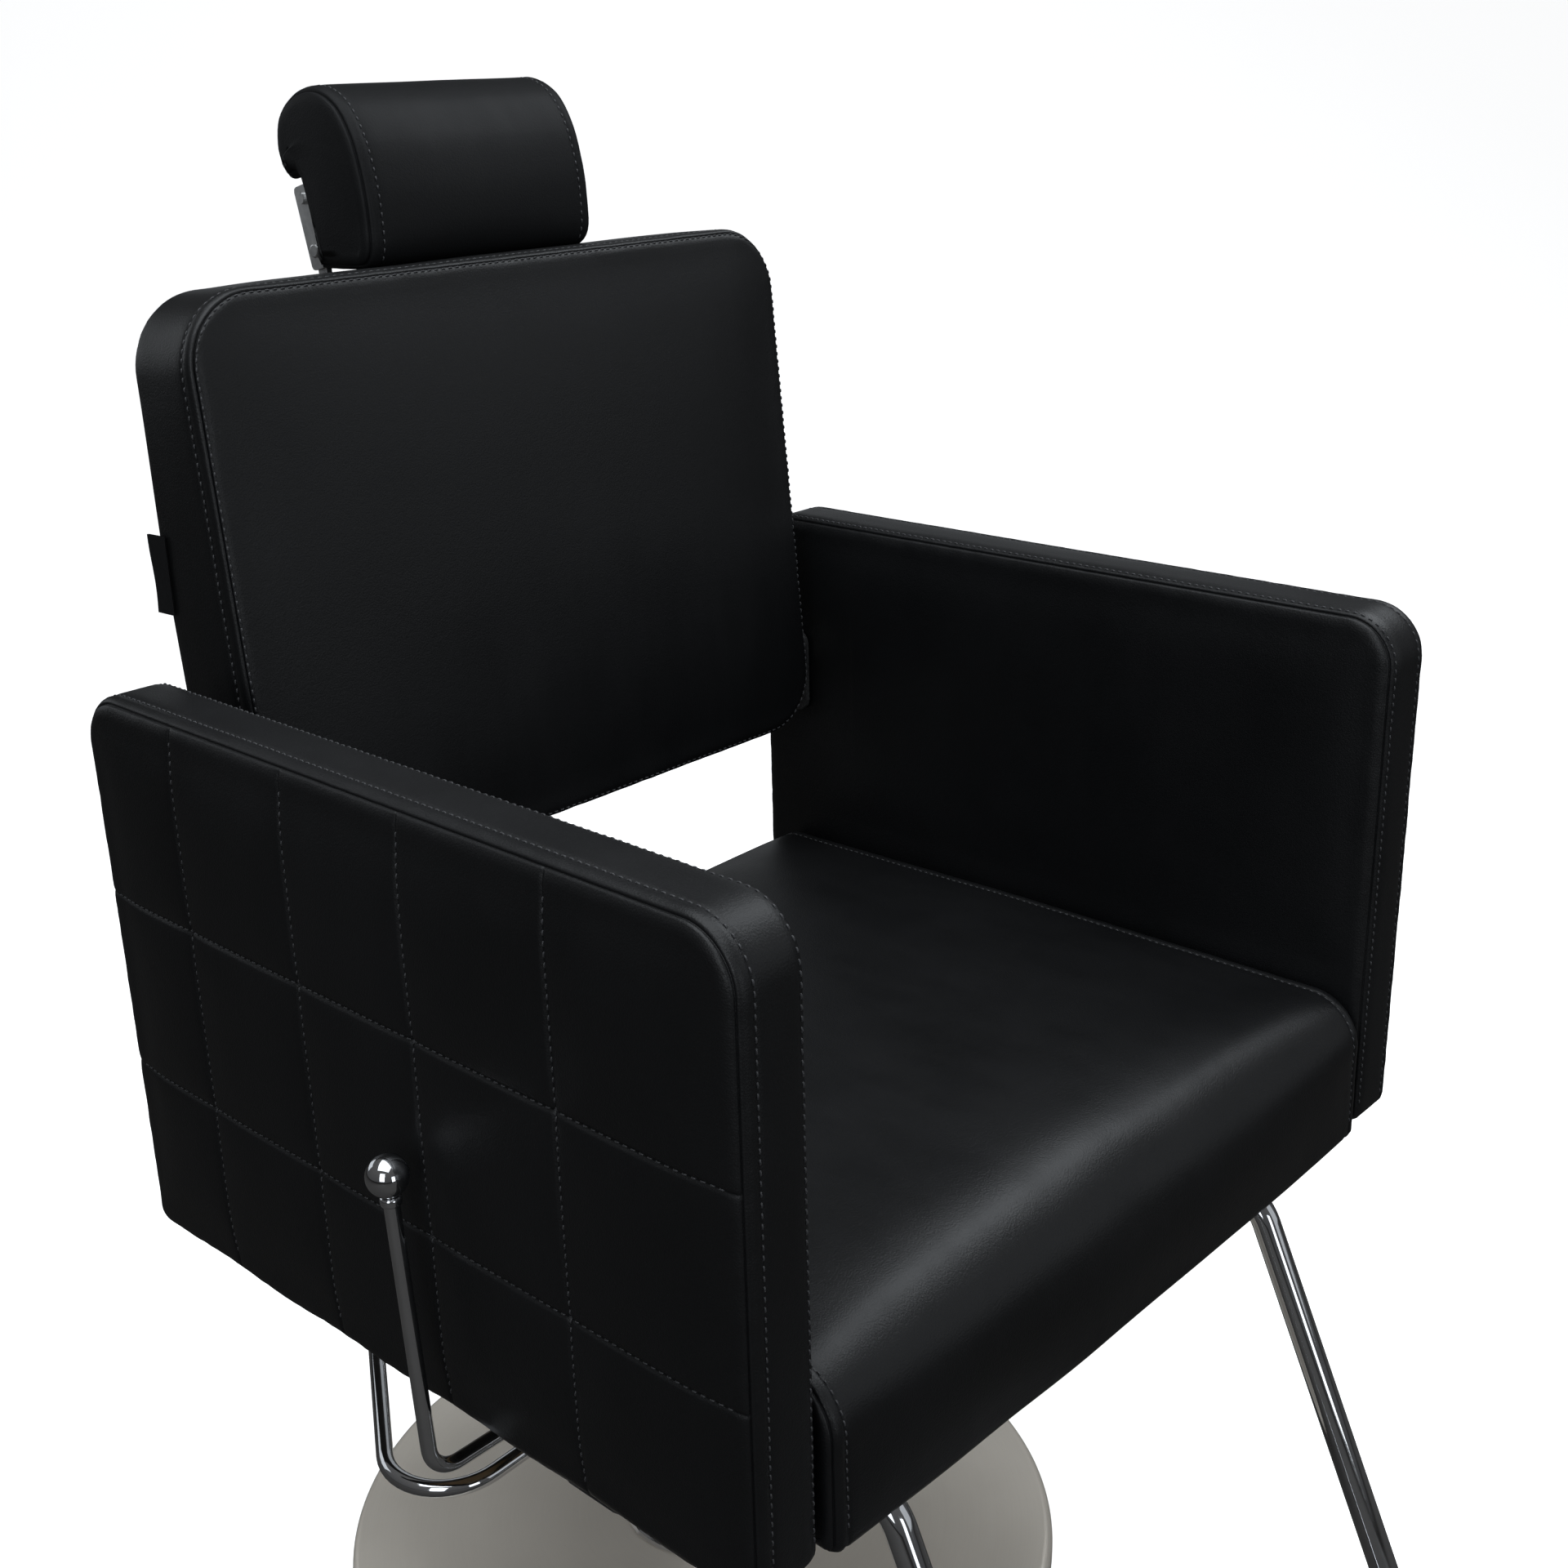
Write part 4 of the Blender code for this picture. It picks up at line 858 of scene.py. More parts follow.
def make_arm(side, name):
    low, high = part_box("arm_pad_" + name)
    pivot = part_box("arm_pivot_plate_" + name)
    pivot = (pivot[0] + pivot[1]) / 2
    middle = (low.x + high.x) / 2
    half = (high.x - low.x) / 2 - 1.0 * MM
    crease = crease_place(half, ARM_EDGE)
    stitches = (crease - OUTER_TOPSTITCH, -(crease - INNER_TOPSTITCH))
    a_low, a_high, b_low, b_high = low.y + ARM_INSET, high.y - ARM_INSET, low.z, high.z - ARM_INSET

    def build(fine):
        step = 4.6 * MM if fine else 9 * MM
        near = (0.6 * MM, 1.5 * MM, 3.0 * MM) if fine else ()
        a_lines = mesh_lines(a_low, a_high, step, QUILT_COLUMNS, near)
        b_lines = mesh_lines(b_low, b_high, step, QUILT_ROWS, near)
        corners = (ARM_LOW_CORNER,) * 2 + (ARM_TOP_CORNER,) * 2
        sides = rounded_sides(a_lines, b_lines, corners)
        return Shell(sides, (a_lines, b_lines), half, ARM_EDGE, stitches, step, fine, True)

    def limits(shell):
        a, b = shell.points[:, 0], shell.points[:, 1]
        outer, inner = shell.across > crease + SURE_SEAM, shell.across < -crease - SURE_SEAM
        border = from_border(a, b, (a_low, a_high), (b_low, b_high))
        corner = np.hypot(np.maximum(0, ARM_TOP_CORNER - np.minimum(a - a_low, a_high - a)),
                          np.maximum(0, ARM_TOP_CORNER - (b_high - b)))
        border = np.minimum(border, np.where(corner > 0, ARM_TOP_CORNER - corner, border))
        dome = roll(border, ARM_BORDER_ROLL)
        cell = roll(np.minimum(nearest(a, QUILT_COLUMNS), nearest(b, QUILT_ROWS)), QUILT_ROLL)
        free = ease(b, 0.485, 0.52) * ease(np.hypot(a - pivot.y, b - pivot.z), 0.045, 0.075)
        band = ARM_BAND_FULLNESS * ease(b, b_low, b_low + 0.03)
        travel = np.where(inner, ARM_INNER_FULLNESS * free * dome, band)
        travel = np.where(outer, ARM_OUTER_FULLNESS * dome * (0.35 + 0.65 * cell), travel)
        creased = np.abs(np.abs(shell.across) - crease) < SURE_SEAM
        held = np.where(creased | (travel < STILL), 1.0, 0.0)
        return np.where(held > 0.5, 0.0, travel), held

    def relief(shell):
        a, b = shell.points[:, 0], shell.points[:, 1]
        border = from_border(a, b, (a_low, a_high), (b_low, b_high))
        outer = (shell.across > crease) * ease(border, 1 * MM, 7 * MM)
        height = np.zeros(len(a))
        for gap in (nearest(a, QUILT_COLUMNS), nearest(b, QUILT_ROWS)):
            line = QUILT_DEPTH * bell(gap, QUILT_WIDTH) + QUILT_HOLLOW * bell(gap, QUILT_HOLLOW_WIDTH)
            height -= outer * line
        return height

    def settle(shell):
        a, b = shell.points[:, 0], shell.points[:, 1]
        drop = ARM_SAG * ease(a, ARM_SAG_FRONT, ARM_SAG_REAR) + ARM_WAVE_HEIGHT * np.sin(a * ARM_WAVES)
        return np.outer(drop * (1 - ease(b, b_low, b_low + ARM_SAG_REACH)), (0, -1, 0))

    matrix = Matrix(((0, 0, side, middle), (1, 0, 0, 0), (0, 1, 0, 0), (0, 0, 0, 1)))
    pad, shell = upholster(f"arm_cushion_{name}", build, limits, matrix, HIDE, "seat",
                           [f"arm_pad_{name}"], 7.0, stitches, relief, settle=settle)
    rows = []
    for place in stitches:
        rows += surface_lines(pad, shell.row(place), lambda p: p[2] > b_low + 0.012)
    grid = shell.caps[1]
    inside = (a_low + QUILT_BORDER, a_high - QUILT_BORDER, b_low + QUILT_BORDER, b_high - QUILT_BORDER)
    for column in QUILT_COLUMNS:
        index = int(np.argmin(np.abs(shell.points[grid[:, len(grid[0]) // 2], 0] - column)))
        rows += surface_lines(pad, grid[index, :], lambda p: inside[2] < p[2] < inside[3])
    for row in QUILT_ROWS:
        index = int(np.argmin(np.abs(shell.points[grid[len(grid) // 2, :], 1] - row)))
        rows += surface_lines(pad, grid[:, index], lambda p: inside[0] < p[1] < inside[1])
    sew(f"arm_stitches_{name}", rows, "seat")


# ---------------------------------------------------------------- seat

SEAT_EDGE = 9 * MM
SEAT_FRONT_ROUND, SEAT_REAR_ROUND, SEAT_LOW_ROUND = 36 * MM, 30 * MM, 8 * MM
SEAT_REAR_DROP = 5 * MM
SEAT_FULLNESS, SEAT_FRONT_FULLNESS = 8.0 * MM, 5.5 * MM
SEAT_HOLLOW, SEAT_HOLLOW_Y, SEAT_HOLLOW_REACH = 3.0 * MM, -0.09, 0.15
SEAT_LIP_SAG, SEAT_LIP_HEIGHT = 6.0 * MM, 0.045
SEAT_LUMP = 0.9


def make_seat():
    low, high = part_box("seat_cushion")
    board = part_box("seat_board")
    front_lip = board[0].y - 0.5 * MM
    rest = board[1].z + 0.3 * MM
    half = high.x - 0.4 * MM
    front, rear, top = low.y + 1.5 * MM, high.y - 0.5 * MM, high.z - 2.5 * MM
    small, rear_top = SEAT_LOW_ROUND, top - SEAT_REAR_DROP
    front_arc = corner_arc((front + SEAT_FRONT_ROUND, top - SEAT_FRONT_ROUND), SEAT_FRONT_ROUND, 180, 90, 16)
    rear_arc = corner_arc((rear - SEAT_REAR_ROUND, rear_top - SEAT_REAR_ROUND), SEAT_REAR_ROUND, 90, 0, 16)
    left = corner_arc((front + small, low.z + small), small, 225, 180) + front_arc[:9]
    upper = front_arc[8:] + [(-0.20, top), (-0.08, top - 0.5 * MM)] + rear_arc[:9]
    low_rear = corner_arc((rear - small, rest + small), small, -45, 0)
    right = [(rear - 5 * MM, rest)] + low_rear[1:] + rear_arc[:7:-1]
    lower = corner_arc((front + small, low.z + small), small, 225, 270)
    lower += [(front_lip - 4 * MM, low.z), (front_lip, low.z + 4 * MM)]
    lower += [(front_lip, rest), (rear - 5 * MM, rest)]
    crease = crease_place(half, SEAT_EDGE)
    stitches = (crease - 9 * MM, 9 * MM - crease)

    def build(fine):
        step = 5.5 * MM if fine else 11 * MM
        a_share = as_shares(mesh_lines(front, rear, step))
        b_share = as_shares(mesh_lines(low.z, top, step))
        paths = [np.array(p) for p in (lower, right, upper, left)]
        sides = [along_path(paths[0], a_share), along_path(paths[1], b_share),
                 along_path(paths[2], a_share)[::-1], along_path(paths[3], b_share)[::-1]]
        return Shell(sides, (a_share, b_share), half, SEAT_EDGE, stitches, step, fine)

    def limits(shell):
        a, b = shell.points[:, 0], shell.points[:, 1]
        wrap = np.abs(shell.across) < crease - SURE_SEAM
        upper_part = ease(b, rest + 12 * MM, rest + 40 * MM)
        front_part = ease(-a, -front - 30 * MM, -front - 3 * MM) * ease(b, low.z + 8 * MM, low.z + 30 * MM)
        travel = np.where(wrap, np.maximum(SEAT_FULLNESS * upper_part, SEAT_FRONT_FULLNESS * front_part), 0.0)
        held = np.where(travel < STILL, 1.0, 0.0)
        return travel, held

    def relief(shell):
        a, b = shell.points[:, 0], shell.points[:, 1]
        wrap = np.abs(shell.across) < crease
        sat = bell(np.hypot(shell.points[:, 2] / 1.25, a - SEAT_HOLLOW_Y), SEAT_HOLLOW_REACH)
        return -SEAT_HOLLOW * sat * wrap * (b > top - 20 * MM)

    def settle(shell):
        a, b, w = shell.points.T
        lip = 1 - ease(a, front_lip - 6 * MM, front_lip + 2 * MM)
        lip = lip * (1 - ease(b, low.z, low.z + SEAT_LIP_HEIGHT))
        return np.outer(SEAT_LIP_SAG * lip * (1 - (w / half) ** 2), (0, -1, 0))

    matrix = Matrix(((0, 0, 1, 0), (1, 0, 0, 0), (0, 1, 0, 0), (0, 0, 0, 1)))
    pad, shell = upholster("seat_cushion_cover", build, limits, matrix, HIDE_TOP, "seat",
                           ["seat_cushion"], 5.0, stitches, relief, SEAT_LUMP, settle)
    rows, lowest, rearmost = [], low.z + 10 * MM, rear - 10 * MM
    for place in stitches:
        rows += surface_lines(pad, shell.row(place), lambda p: p[2] > lowest and p[1] < rearmost)
    sew("seat_stitches", rows, "seat")


# ---------------------------------------------------------------- back

BACK_LEAN = math.radians(5.34)
BACK_PIVOT = Vector((0, 0.135, 0.615))
BACK_CORNER = 47 * MM
BACK_EDGE = 8 * MM
BACK_HALF_WIDTH = 0.249
BACK_LOW, BACK_HIGH = -0.0439, 0.3376
BACK_FRONT, BACK_REAR = -0.0428, 0.0265
BACK_FULLNESS, BACK_ROLL = 12.0 * MM, 58 * MM
BAND_FULLNESS, BAND_ROLL = 2.5 * MM, 14 * MM
PLATE_FULLNESS, PLATE_HEIGHT, PLATE_REACH = 3.5 * MM, 0.016, 0.055
REAR_SWELL = 9.0 * MM
PANEL_GAP, PANEL_THICKNESS, PANEL_INSET = 0.3 * MM, 6 * MM, 6 * MM
PANEL_STITCH_INSET = 9 * MM
BACK_FRAME = Matrix.Translation(BACK_PIVOT) @ Matrix.Rotation(-BACK_LEAN, 4, "X")


def facing_front(depth):
    """Turns a shell's (a, b, w) to the back's axes: a to x, b to z, w towards the sitter from a depth."""
    return BACK_FRAME @ Matrix(((1, 0, 0, 0), (0, 0, -1, depth), (0, 1, 0, 0), (0, 0, 0, 1)))


def rear_swell(points):
    """How far the rear of the back swells out beside the middle, more towards its foot."""
    a, b = np.abs(points[:, 0]), points[:, 1]
    return REAR_SWELL * ease(0.32 - b, 0, 0.18) * ease(a, 0.11, 0.21)


def make_back():
    half = (BACK_REAR - BACK_FRONT) / 2
    side = BACK_HALF_WIDTH - 0.5 * MM
    crease = crease_place(half, BACK_EDGE)
    stitches = (crease - 10 * MM,)

    def build(fine):
        step = 5.2 * MM if fine else 10 * MM
        a_lines = mesh_lines(-side, side, step)
        b_lines = mesh_lines(BACK_LOW, BACK_HIGH, step)
        sides = rounded_sides(a_lines, b_lines, (BACK_CORNER,) * 4)
        return Shell(sides, (a_lines, b_lines), half, BACK_EDGE, stitches, step, fine, True)

    def limits(shell):
        a, b = np.abs(shell.points[:, 0]), shell.points[:, 1]
        front = shell.across > crease + SURE_SEAM
        band = np.abs(shell.across) < crease - SURE_SEAM
        dome = roll(from_border(a, b, (-side, side), (BACK_LOW, BACK_HIGH)) - 1 * MM, BACK_ROLL)
        beside_plate = bell(b - PLATE_HEIGHT, PLATE_REACH) * (a > side - 20 * MM)
        swell = BAND_FULLNESS + PLATE_FULLNESS * beside_plate
        swell = swell * roll(crease - np.abs(shell.across), BAND_ROLL)
        travel = np.where(front, BACK_FULLNESS * dome, np.where(band, swell, 0.0))
        return travel, np.where(travel < STILL, 1.0, 0.0)

    def settle(shell):
        share = np.clip((crease - shell.across) / (2 * crease), 0, 1)
        return np.outer(rear_swell(shell.points) * share, (0, 0, -1))

    matrix = facing_front((BACK_FRONT + BACK_REAR) / 2)
    pad, shell = upholster("back_cushion", build, limits, matrix, HIDE, "back",
                           ["back_pad"], 5.0, stitches, settle=settle)
    rows = surface_lines(pad, shell.row(stitches[0])) + surface_lines(pad, shell.row(crease + 1.7 * MM))
    sew("back_stitches", rows, "back")


def make_rear_panel():
    """Flat covered panel on the rear of the back, with a row of stitches round it."""
    half = PANEL_THICKNESS / 2
    side, low, high = BACK_HALF_WIDTH - PANEL_INSET, BACK_LOW + PANEL_INSET, BACK_HIGH - PANEL_INSET
    corner = BACK_CORNER - PANEL_INSET

    def outline(shrink):
        a_lines = mesh_lines(-side + shrink, side - shrink, 6 * MM)
        b_lines = mesh_lines(low + shrink, high - shrink, 6 * MM)
        return a_lines, b_lines, rounded_sides(a_lines, b_lines, (corner - shrink,) * 4)

    a_lines, b_lines, sides = outline(0.0)
    shell = Shell(sides, (as_shares(a_lines), as_shares(b_lines)), half, 2.5 * MM, (), 2 * MM, True)
    points = shell.points.copy()
    lumps = unevenness(points, 60 * MM, 4.4) * 0.25 * MM
    points[:, 2] -= np.where(shell.across < -half, lumps * ease(side - np.abs(points[:, 0]), 0, 30 * MM), 0)
    points[:, 2] -= rear_swell(points)
    matrix = facing_front(BACK_REAR + PANEL_GAP + half)
    panel = new_piece("back_rear_cover", points, shell.faces, HIDE)
    panel.data.transform(matrix)
    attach(panel, "back")
    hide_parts("back_rear_panel")
    ring = np.vstack([s[:-1] for s in outline(PANEL_STITCH_INSET)[2]])
    ring = np.vstack([ring, ring[:1]])
    places = [matrix @ Vector((a, b, -half - swell)) for (a, b), swell in zip(ring, rear_swell(ring))]
    rearward = matrix.to_3x3() @ Vector((0, 0, -1))
    line = (np.array(places), np.array([rearward] * len(places)))
    sew("rear_panel_stitches", [line], "back")


# ---------------------------------------------------------------- headrest

HEADREST_LEAN = math.radians(14)
TILT_PIVOT = Vector((0, 0.2161, 0.9615))
HEADREST_FRAME = Matrix.Translation(TILT_PIVOT) @ Matrix.Rotation(-HEADREST_LEAN, 4, "X")
HEADREST_REAR = -0.0057
HEADREST_OUTLINE = [(HEADREST_REAR, -0.0125), (-0.0380, -0.0202), (-0.0555, -0.0225), (-0.0662, -0.0140),
                    (-0.0720, 0.0080), (-0.0745, 0.0300), (-0.0730, 0.0560), (-0.0635, 0.0795),
                    (-0.0430, 0.0945), (-0.0170, 0.0960), (0.0020, 0.0875), (0.0108, 0.0715),
                    (0.0110, 0.0580), (0.0058, 0.0475), (HEADREST_REAR, 0.0445)]
HEADREST_EDGE = 10 * MM
HEADREST_FULLNESS, HEADREST_END_FULLNESS = 2.6 * MM, 3.0 * MM
PLATE_TOP, PLATE_CLEAR = 0.0460, 0.0520


def make_headrest():
    low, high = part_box("headrest_pad")
    half = (high.x - low.x) / 2
    crease = crease_place(half, HEADREST_EDGE)
    stitches = (crease - 10 * MM, 10 * MM - crease)
    steps = 8
    path = smooth_path(HEADREST_OUTLINE + HEADREST_OUTLINE[:1], steps)
    bottom, front, top, rear = (path[i * steps:j * steps + 1] for i, j in ((0, 2), (2, 7), (7, 11), (11, 15)))

    def build(fine):
        step = 4 * MM if fine else 6.5 * MM
        a_share = as_shares(mesh_lines(0, 0.075, step))
        b_share = as_shares(mesh_lines(0, 0.105, step))
        sides = [along_path(bottom[::-1], a_share), along_path(rear[::-1], b_share),
                 along_path(top[::-1], a_share), along_path(front[::-1], b_share)]
        return Shell(sides, (a_share, b_share), half, HEADREST_EDGE, stitches, step, fine)

    def limits(shell):
        a, b = shell.points[:, 0], shell.points[:, 1]
        at_plate = (a > HEADREST_REAR - 3 * MM) & (b < PLATE_TOP)
        wrap = np.abs(shell.across) < crease - SURE_SEAM
        ends = np.abs(shell.across) > crease + SURE_SEAM
        clear = ease(HEADREST_REAR - a, 2 * MM, 14 * MM) + (b > PLATE_CLEAR)
        wrapped = HEADREST_FULLNESS * np.minimum(clear, 1)
        travel = np.where(wrap, wrapped, np.where(ends, HEADREST_END_FULLNESS, 0.0))
        travel = np.where(at_plate, 0.0, travel)
        return travel, np.where(travel < STILL, 1.0, 0.0)

    matrix = HEADREST_FRAME @ Matrix(((0, 0, 1, 0), (1, 0, 0, 0), (0, 1, 0, 0), (0, 0, 0, 1)))
    pad, shell = upholster("headrest_cushion", build, limits, matrix, HIDE_MATT, "headrest",
                           ["headrest_pad"], 9.0, stitches)
    rows = []
    for place in stitches:
        rows += surface_lines(pad, np.append(shell.row(place), shell.row(place)[:1]))
    sew("headrest_stitches", rows, "headrest")


# ---------------------------------------------------------------- metalwork

COVER_HOLE, COVER_SKIN, COVER_EDGE, COVER_RIM_TOP = 54 * MM, 1.5 * MM, 7 * MM, 14 * MM
FOOTREST_TUBE, FOOTREST_BEND, FOOTREST_KNEE = 9.5 * MM, 34 * MM, -0.3484
FOOT_LEVER_TURN, FOOT_LEVER_HALF_ANGLE = math.radians(146.1), math.radians(35.9)
FOOT_LEVER_PIVOT, FOOT_LEVER_HEIGHT, FOOT_LEVER_REACH = 0.058, 0.175, 0.2339
FOOT_LEVER_START, FOOT_LEVER_ROD, FOOT_LEVER_BEND = 9.5 * MM, 6 * MM, 45 * MM
RECLINE_ROD, RECLINE_BEND, RECLINE_NECK, RECLINE_AXLE_Y = 4.5 * MM, 18 * MM, 5.5 * MM, -0.152
# Collar under the ball: radius and distance below the ball's middle.
RECLINE_COLLAR = [(4.7, 11.5), (5.4, 11.8), (5.9, 12.6), (6.0, 13.4), (6.0, 15.6), (5.8, 16.4), (5.4, 16.9),
                  (4.7, 17.0)]


def filleted(corners, radius, steps):
    """The path through the corners, with an arc of that radius at each inner corner."""
    corners = [Vector(c) for c in corners]
    points = [corners[0]]
    for before, here, after in zip(corners, corners[1:], corners[2:]):
        inward, onward = (before - here).normalized(), (after - here).normalized()
        half_angle = inward.angle(onward) / 2
        reach = radius / math.tan(half_angle)
        start, end = here + inward * reach, here + onward * reach
        middle = here + (inward + onward).normalized() * radius / math.sin(half_angle)
        first, last = start - middle, end - middle
        angle = first.angle(last)
        for i in range(steps + 1):
            t = i / steps
            arm = first * math.sin((1 - t) * angle) + last * math.sin(t * angle)
            points.append(middle + arm / math.sin(angle))
    return points + [corners[-1]]


def make_tube(name, points, radius, body, nodes):
    curve = bpy.data.curves.new(name, "CURVE")
    curve.dimensions = "3D"
    curve.bevel_depth = radius
    curve.bevel_resolution = 10
    curve.use_fill_caps = True
    line = curve.splines.new("POLY")
    line.points.add(len(points) - 1)
    for target, point in zip(line.points, points):
        target.co = (*point, 1)
    line.use_smooth = True
    curve.materials.append(CHROME)
    made = bpy.data.objects.new(name, curve)
    SCENE.collection.objects.link(made)
    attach(made, body)
    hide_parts(*nodes)
    return made


def make_turned(name, profile, material, body, nodes, matrix, steps):
    """Turns (radius, height) points, listed from the axis or the inner edge round to where they close."""
    points, faces = [], []
    turns = np.linspace(0, 2 * math.pi, steps, endpoint=False)
    for radius, height in profile:
        points += [(radius * math.cos(t), radius * math.sin(t), height) for t in turns]
    count = len(profile)
    for k in range(count):
        for j in range(steps):
            low, high, after = k * steps, (k + 1) % count * steps, (j + 1) % steps
            faces.append((low + j, low + after, high + after, high + j))
    made = new_piece(name, points, faces, material)
    turn_faces_outward(made.data, 0.02 * MM)
    made.data.set_sharp_from_angle(angle=math.radians(35))
    made.data.transform(matrix)
    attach(made, body)
    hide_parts(*nodes)
    return made


def make_base_cover():
    low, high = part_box("base_cover")
    radius, crown = high.x, high.z
    bend, bend_height = radius - COVER_EDGE, COVER_RIM_TOP - COVER_EDGE
    profile = []
    for share in np.linspace(0, 1, 14):
        fall = (crown - COVER_RIM_TOP) * share ** 2.4
        profile.append((COVER_HOLE + (bend - COVER_HOLE) * share, crown - fall))
    profile += [(bend + COVER_EDGE * math.sin(t), bend_height + COVER_EDGE * math.cos(t))
                for t in np.radians(np.linspace(10, 90, 9))]
    profile += [(radius, low.z), (radius - COVER_SKIN, low.z)]
    inner = COVER_EDGE - COVER_SKIN
    profile += [(bend + inner * math.sin(t), bend_height + inner * math.cos(t))
                for t in np.radians(np.linspace(90, 0, 7))]
    profile += [(COVER_HOLE, crown - COVER_SKIN)]
    made = make_turned("base_cover_disc", profile, FINISHES["stainless"], "base", ["base_cover"],
                       Matrix(), 192)


def make_footrest():
    low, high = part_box("footrest_tube")
    x, top = high.x - FOOTREST_TUBE, high.z - FOOTREST_TUBE
    bar_y, bar_z = low.y + FOOTREST_TUBE, low.z + FOOTREST_TUBE
    corners = [(x, high.y, top), (x, FOOTREST_KNEE, top), (x, bar_y, bar_z)]
    corners += [(-x, py, pz) for _, py, pz in corners[::-1]]
    path = filleted(corners, FOOTREST_BEND, 14)
    make_tube("footrest_tube_bent", path, FOOTREST_TUBE, "seat", ["footrest_tube"])


def make_foot_lever():
    spread = math.tan(FOOT_LEVER_HALF_ANGLE)
    start, reach = FOOT_LEVER_START + FOOT_LEVER_PIVOT, FOOT_LEVER_REACH
    near, far = start * spread, reach * spread
    turned = Matrix.Translation((0, 0, FOOT_LEVER_HEIGHT)) @ Matrix.Rotation(FOOT_LEVER_TURN, 4, "Z")
    corners = [(start, -near, 0), (reach, -far, 0), (reach, far, 0), (start, near, 0)]
    path = [turned @ p for p in filleted(corners, FOOT_LEVER_BEND, 16)]
    make_tube("foot_lever_loop", path, FOOT_LEVER_ROD, "foot_lever", ["foot_lever_hoop"])


def make_recline_lever():
    low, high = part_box("recline_rod")
    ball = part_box("recline_ball")
    centre, radius = (ball[0] + ball[1]) / 2, (ball[1].x - ball[0].x) / 2
    elbow = Vector((centre.x, RECLINE_AXLE_Y, low.z + RECLINE_ROD))
    up = (centre - elbow).normalized()
    path = filleted([(high.x, elbow.y, elbow.z), elbow, centre - up * (radius - 1 * MM)], RECLINE_BEND, 14)
    make_tube("recline_lever_rod", path, RECLINE_ROD, "recline_lever", ["recline_rod"])
    matrix = Matrix.Translation(centre) @ Vector((0, 0, 1)).rotation_difference(up).to_matrix().to_4x4()
    start = math.asin(RECLINE_NECK / radius)
    profile = [(radius * math.sin(t), -radius * math.cos(t)) for t in np.linspace(start, math.pi, 40)]
    profile = [(0, -radius * math.cos(start))] + profile
    knob = make_turned("recline_lever_ball", profile, CHROME, "recline_lever", ["recline_ball"], matrix, 72)
    profile = [(width * MM, -below * MM) for width, below in RECLINE_COLLAR]
    ring = make_turned("recline_lever_collar", profile, CHROME, "recline_lever", ["recline_collar"],
                       matrix, 64)


# ---------------------------------------------------------------- side tag

TAG_SWELL, TAG_CURL, TAG_WAVE = 6 * MM, 1.2 * MM, 0.6 * MM
TAG_FOLD, TAG_THICKNESS = 0.8 * MM, 0.45 * MM


def make_side_tag():
    """A folded loop of plain woven tape, caught in the seam behind the side band."""
    low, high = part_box("side_label")
    width, reach = high.z - low.z, high.y - low.y
    path = [(-reach, TAG_FOLD)] + corner_arc((0.0, 0.0), TAG_FOLD, 90, -90, 10) + [(-reach, -TAG_FOLD)]
    inner = [(x - TAG_THICKNESS, y * 0.45) for x, y in path[::-1]]
    loop = path + inner
    points, faces = [], []
    rows = 22
    for i in range(rows + 1):
        share = i / rows
        curl = TAG_WAVE * math.sin(share * 5.0) - TAG_CURL
        for along, off in loop:
            free = 1 + along / reach
            points.append((low.x + off + curl * free ** 2, high.y + along + TAG_SWELL, low.z + share * width))
    count = len(loop)
    for i in range(rows):
        for j in range(count):
            start, after = i * count, (j + 1) % count
            faces.append((start + j, start + after, start + count + after, start + count + j))
    made = new_piece("side_tag_loop", points, faces, FINISHES["label_cloth"])
    made.data.set_sharp_from_angle(angle=math.radians(60))
    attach(made, "back")
    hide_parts("side_label")


# ---------------------------------------------------------------- parts carried over

def edge_softener():
    """Geometry nodes that shade smooth across shallow angles and keep real corners crisp."""
    group = bpy.data.node_groups.new("smooth_by_angle", "GeometryNodeTree")
    group.interface.new_socket("Geometry", in_out="INPUT", socket_type="NodeSocketGeometry")
    group.interface.new_socket("Geometry", in_out="OUTPUT", socket_type="NodeSocketGeometry")
    source = group.nodes.new("NodeGroupInput")
    sink = group.nodes.new("NodeGroupOutput")
    faces = group.nodes.new("GeometryNodeSetShadeSmooth")
    edges = group.nodes.new("GeometryNodeSetShadeSmooth")
    edges.domain = "EDGE"
    edges.inputs["Shade Smooth"].default_value = False
    angle = group.nodes.new("GeometryNodeInputMeshEdgeAngle")
    limit = group.nodes.new("FunctionNodeCompare")
    limit.operation = "GREATER_THAN"
    limit.inputs[1].default_value = math.radians(32)
    link = group.links.new
    link(source.outputs[0], faces.inputs["Geometry"])
    link(faces.outputs[0], edges.inputs["Geometry"])
    link(angle.outputs["Unsigned Angle"], limit.inputs[0])
    link(limit.outputs[0], edges.inputs["Selection"])
    link(edges.outputs[0], sink.inputs[0])
    return group


def dress_cad_nodes():
    softener = edge_softener()
    slots = {part["node"]: part["material_slot"] for part in frame["record"]["subparts"]}
    for name, node in frame["nodes"].items():
        material = FINISHES[slots[name]]
        if not node.material_slots:
            node.data.materials.append(material)
        for slot in node.material_slots:
            slot.link = "OBJECT"
            slot.material = material
        if node.hide_render:
            continue
        if slots[name] in ("black_steel", "zinc_steel", "nylon"):
            bevel = node.modifiers.new("soft_edges", "BEVEL")
            bevel.width = 0.3 * MM
            bevel.segments = 2
            bevel.limit_method = "ANGLE"
            bevel.angle_limit = math.radians(40)
            bevel.use_clamp_overlap = True
        shade = node.modifiers.new("shading", "NODES")
        shade.node_group = softener


# ---------------------------------------------------------------- studio

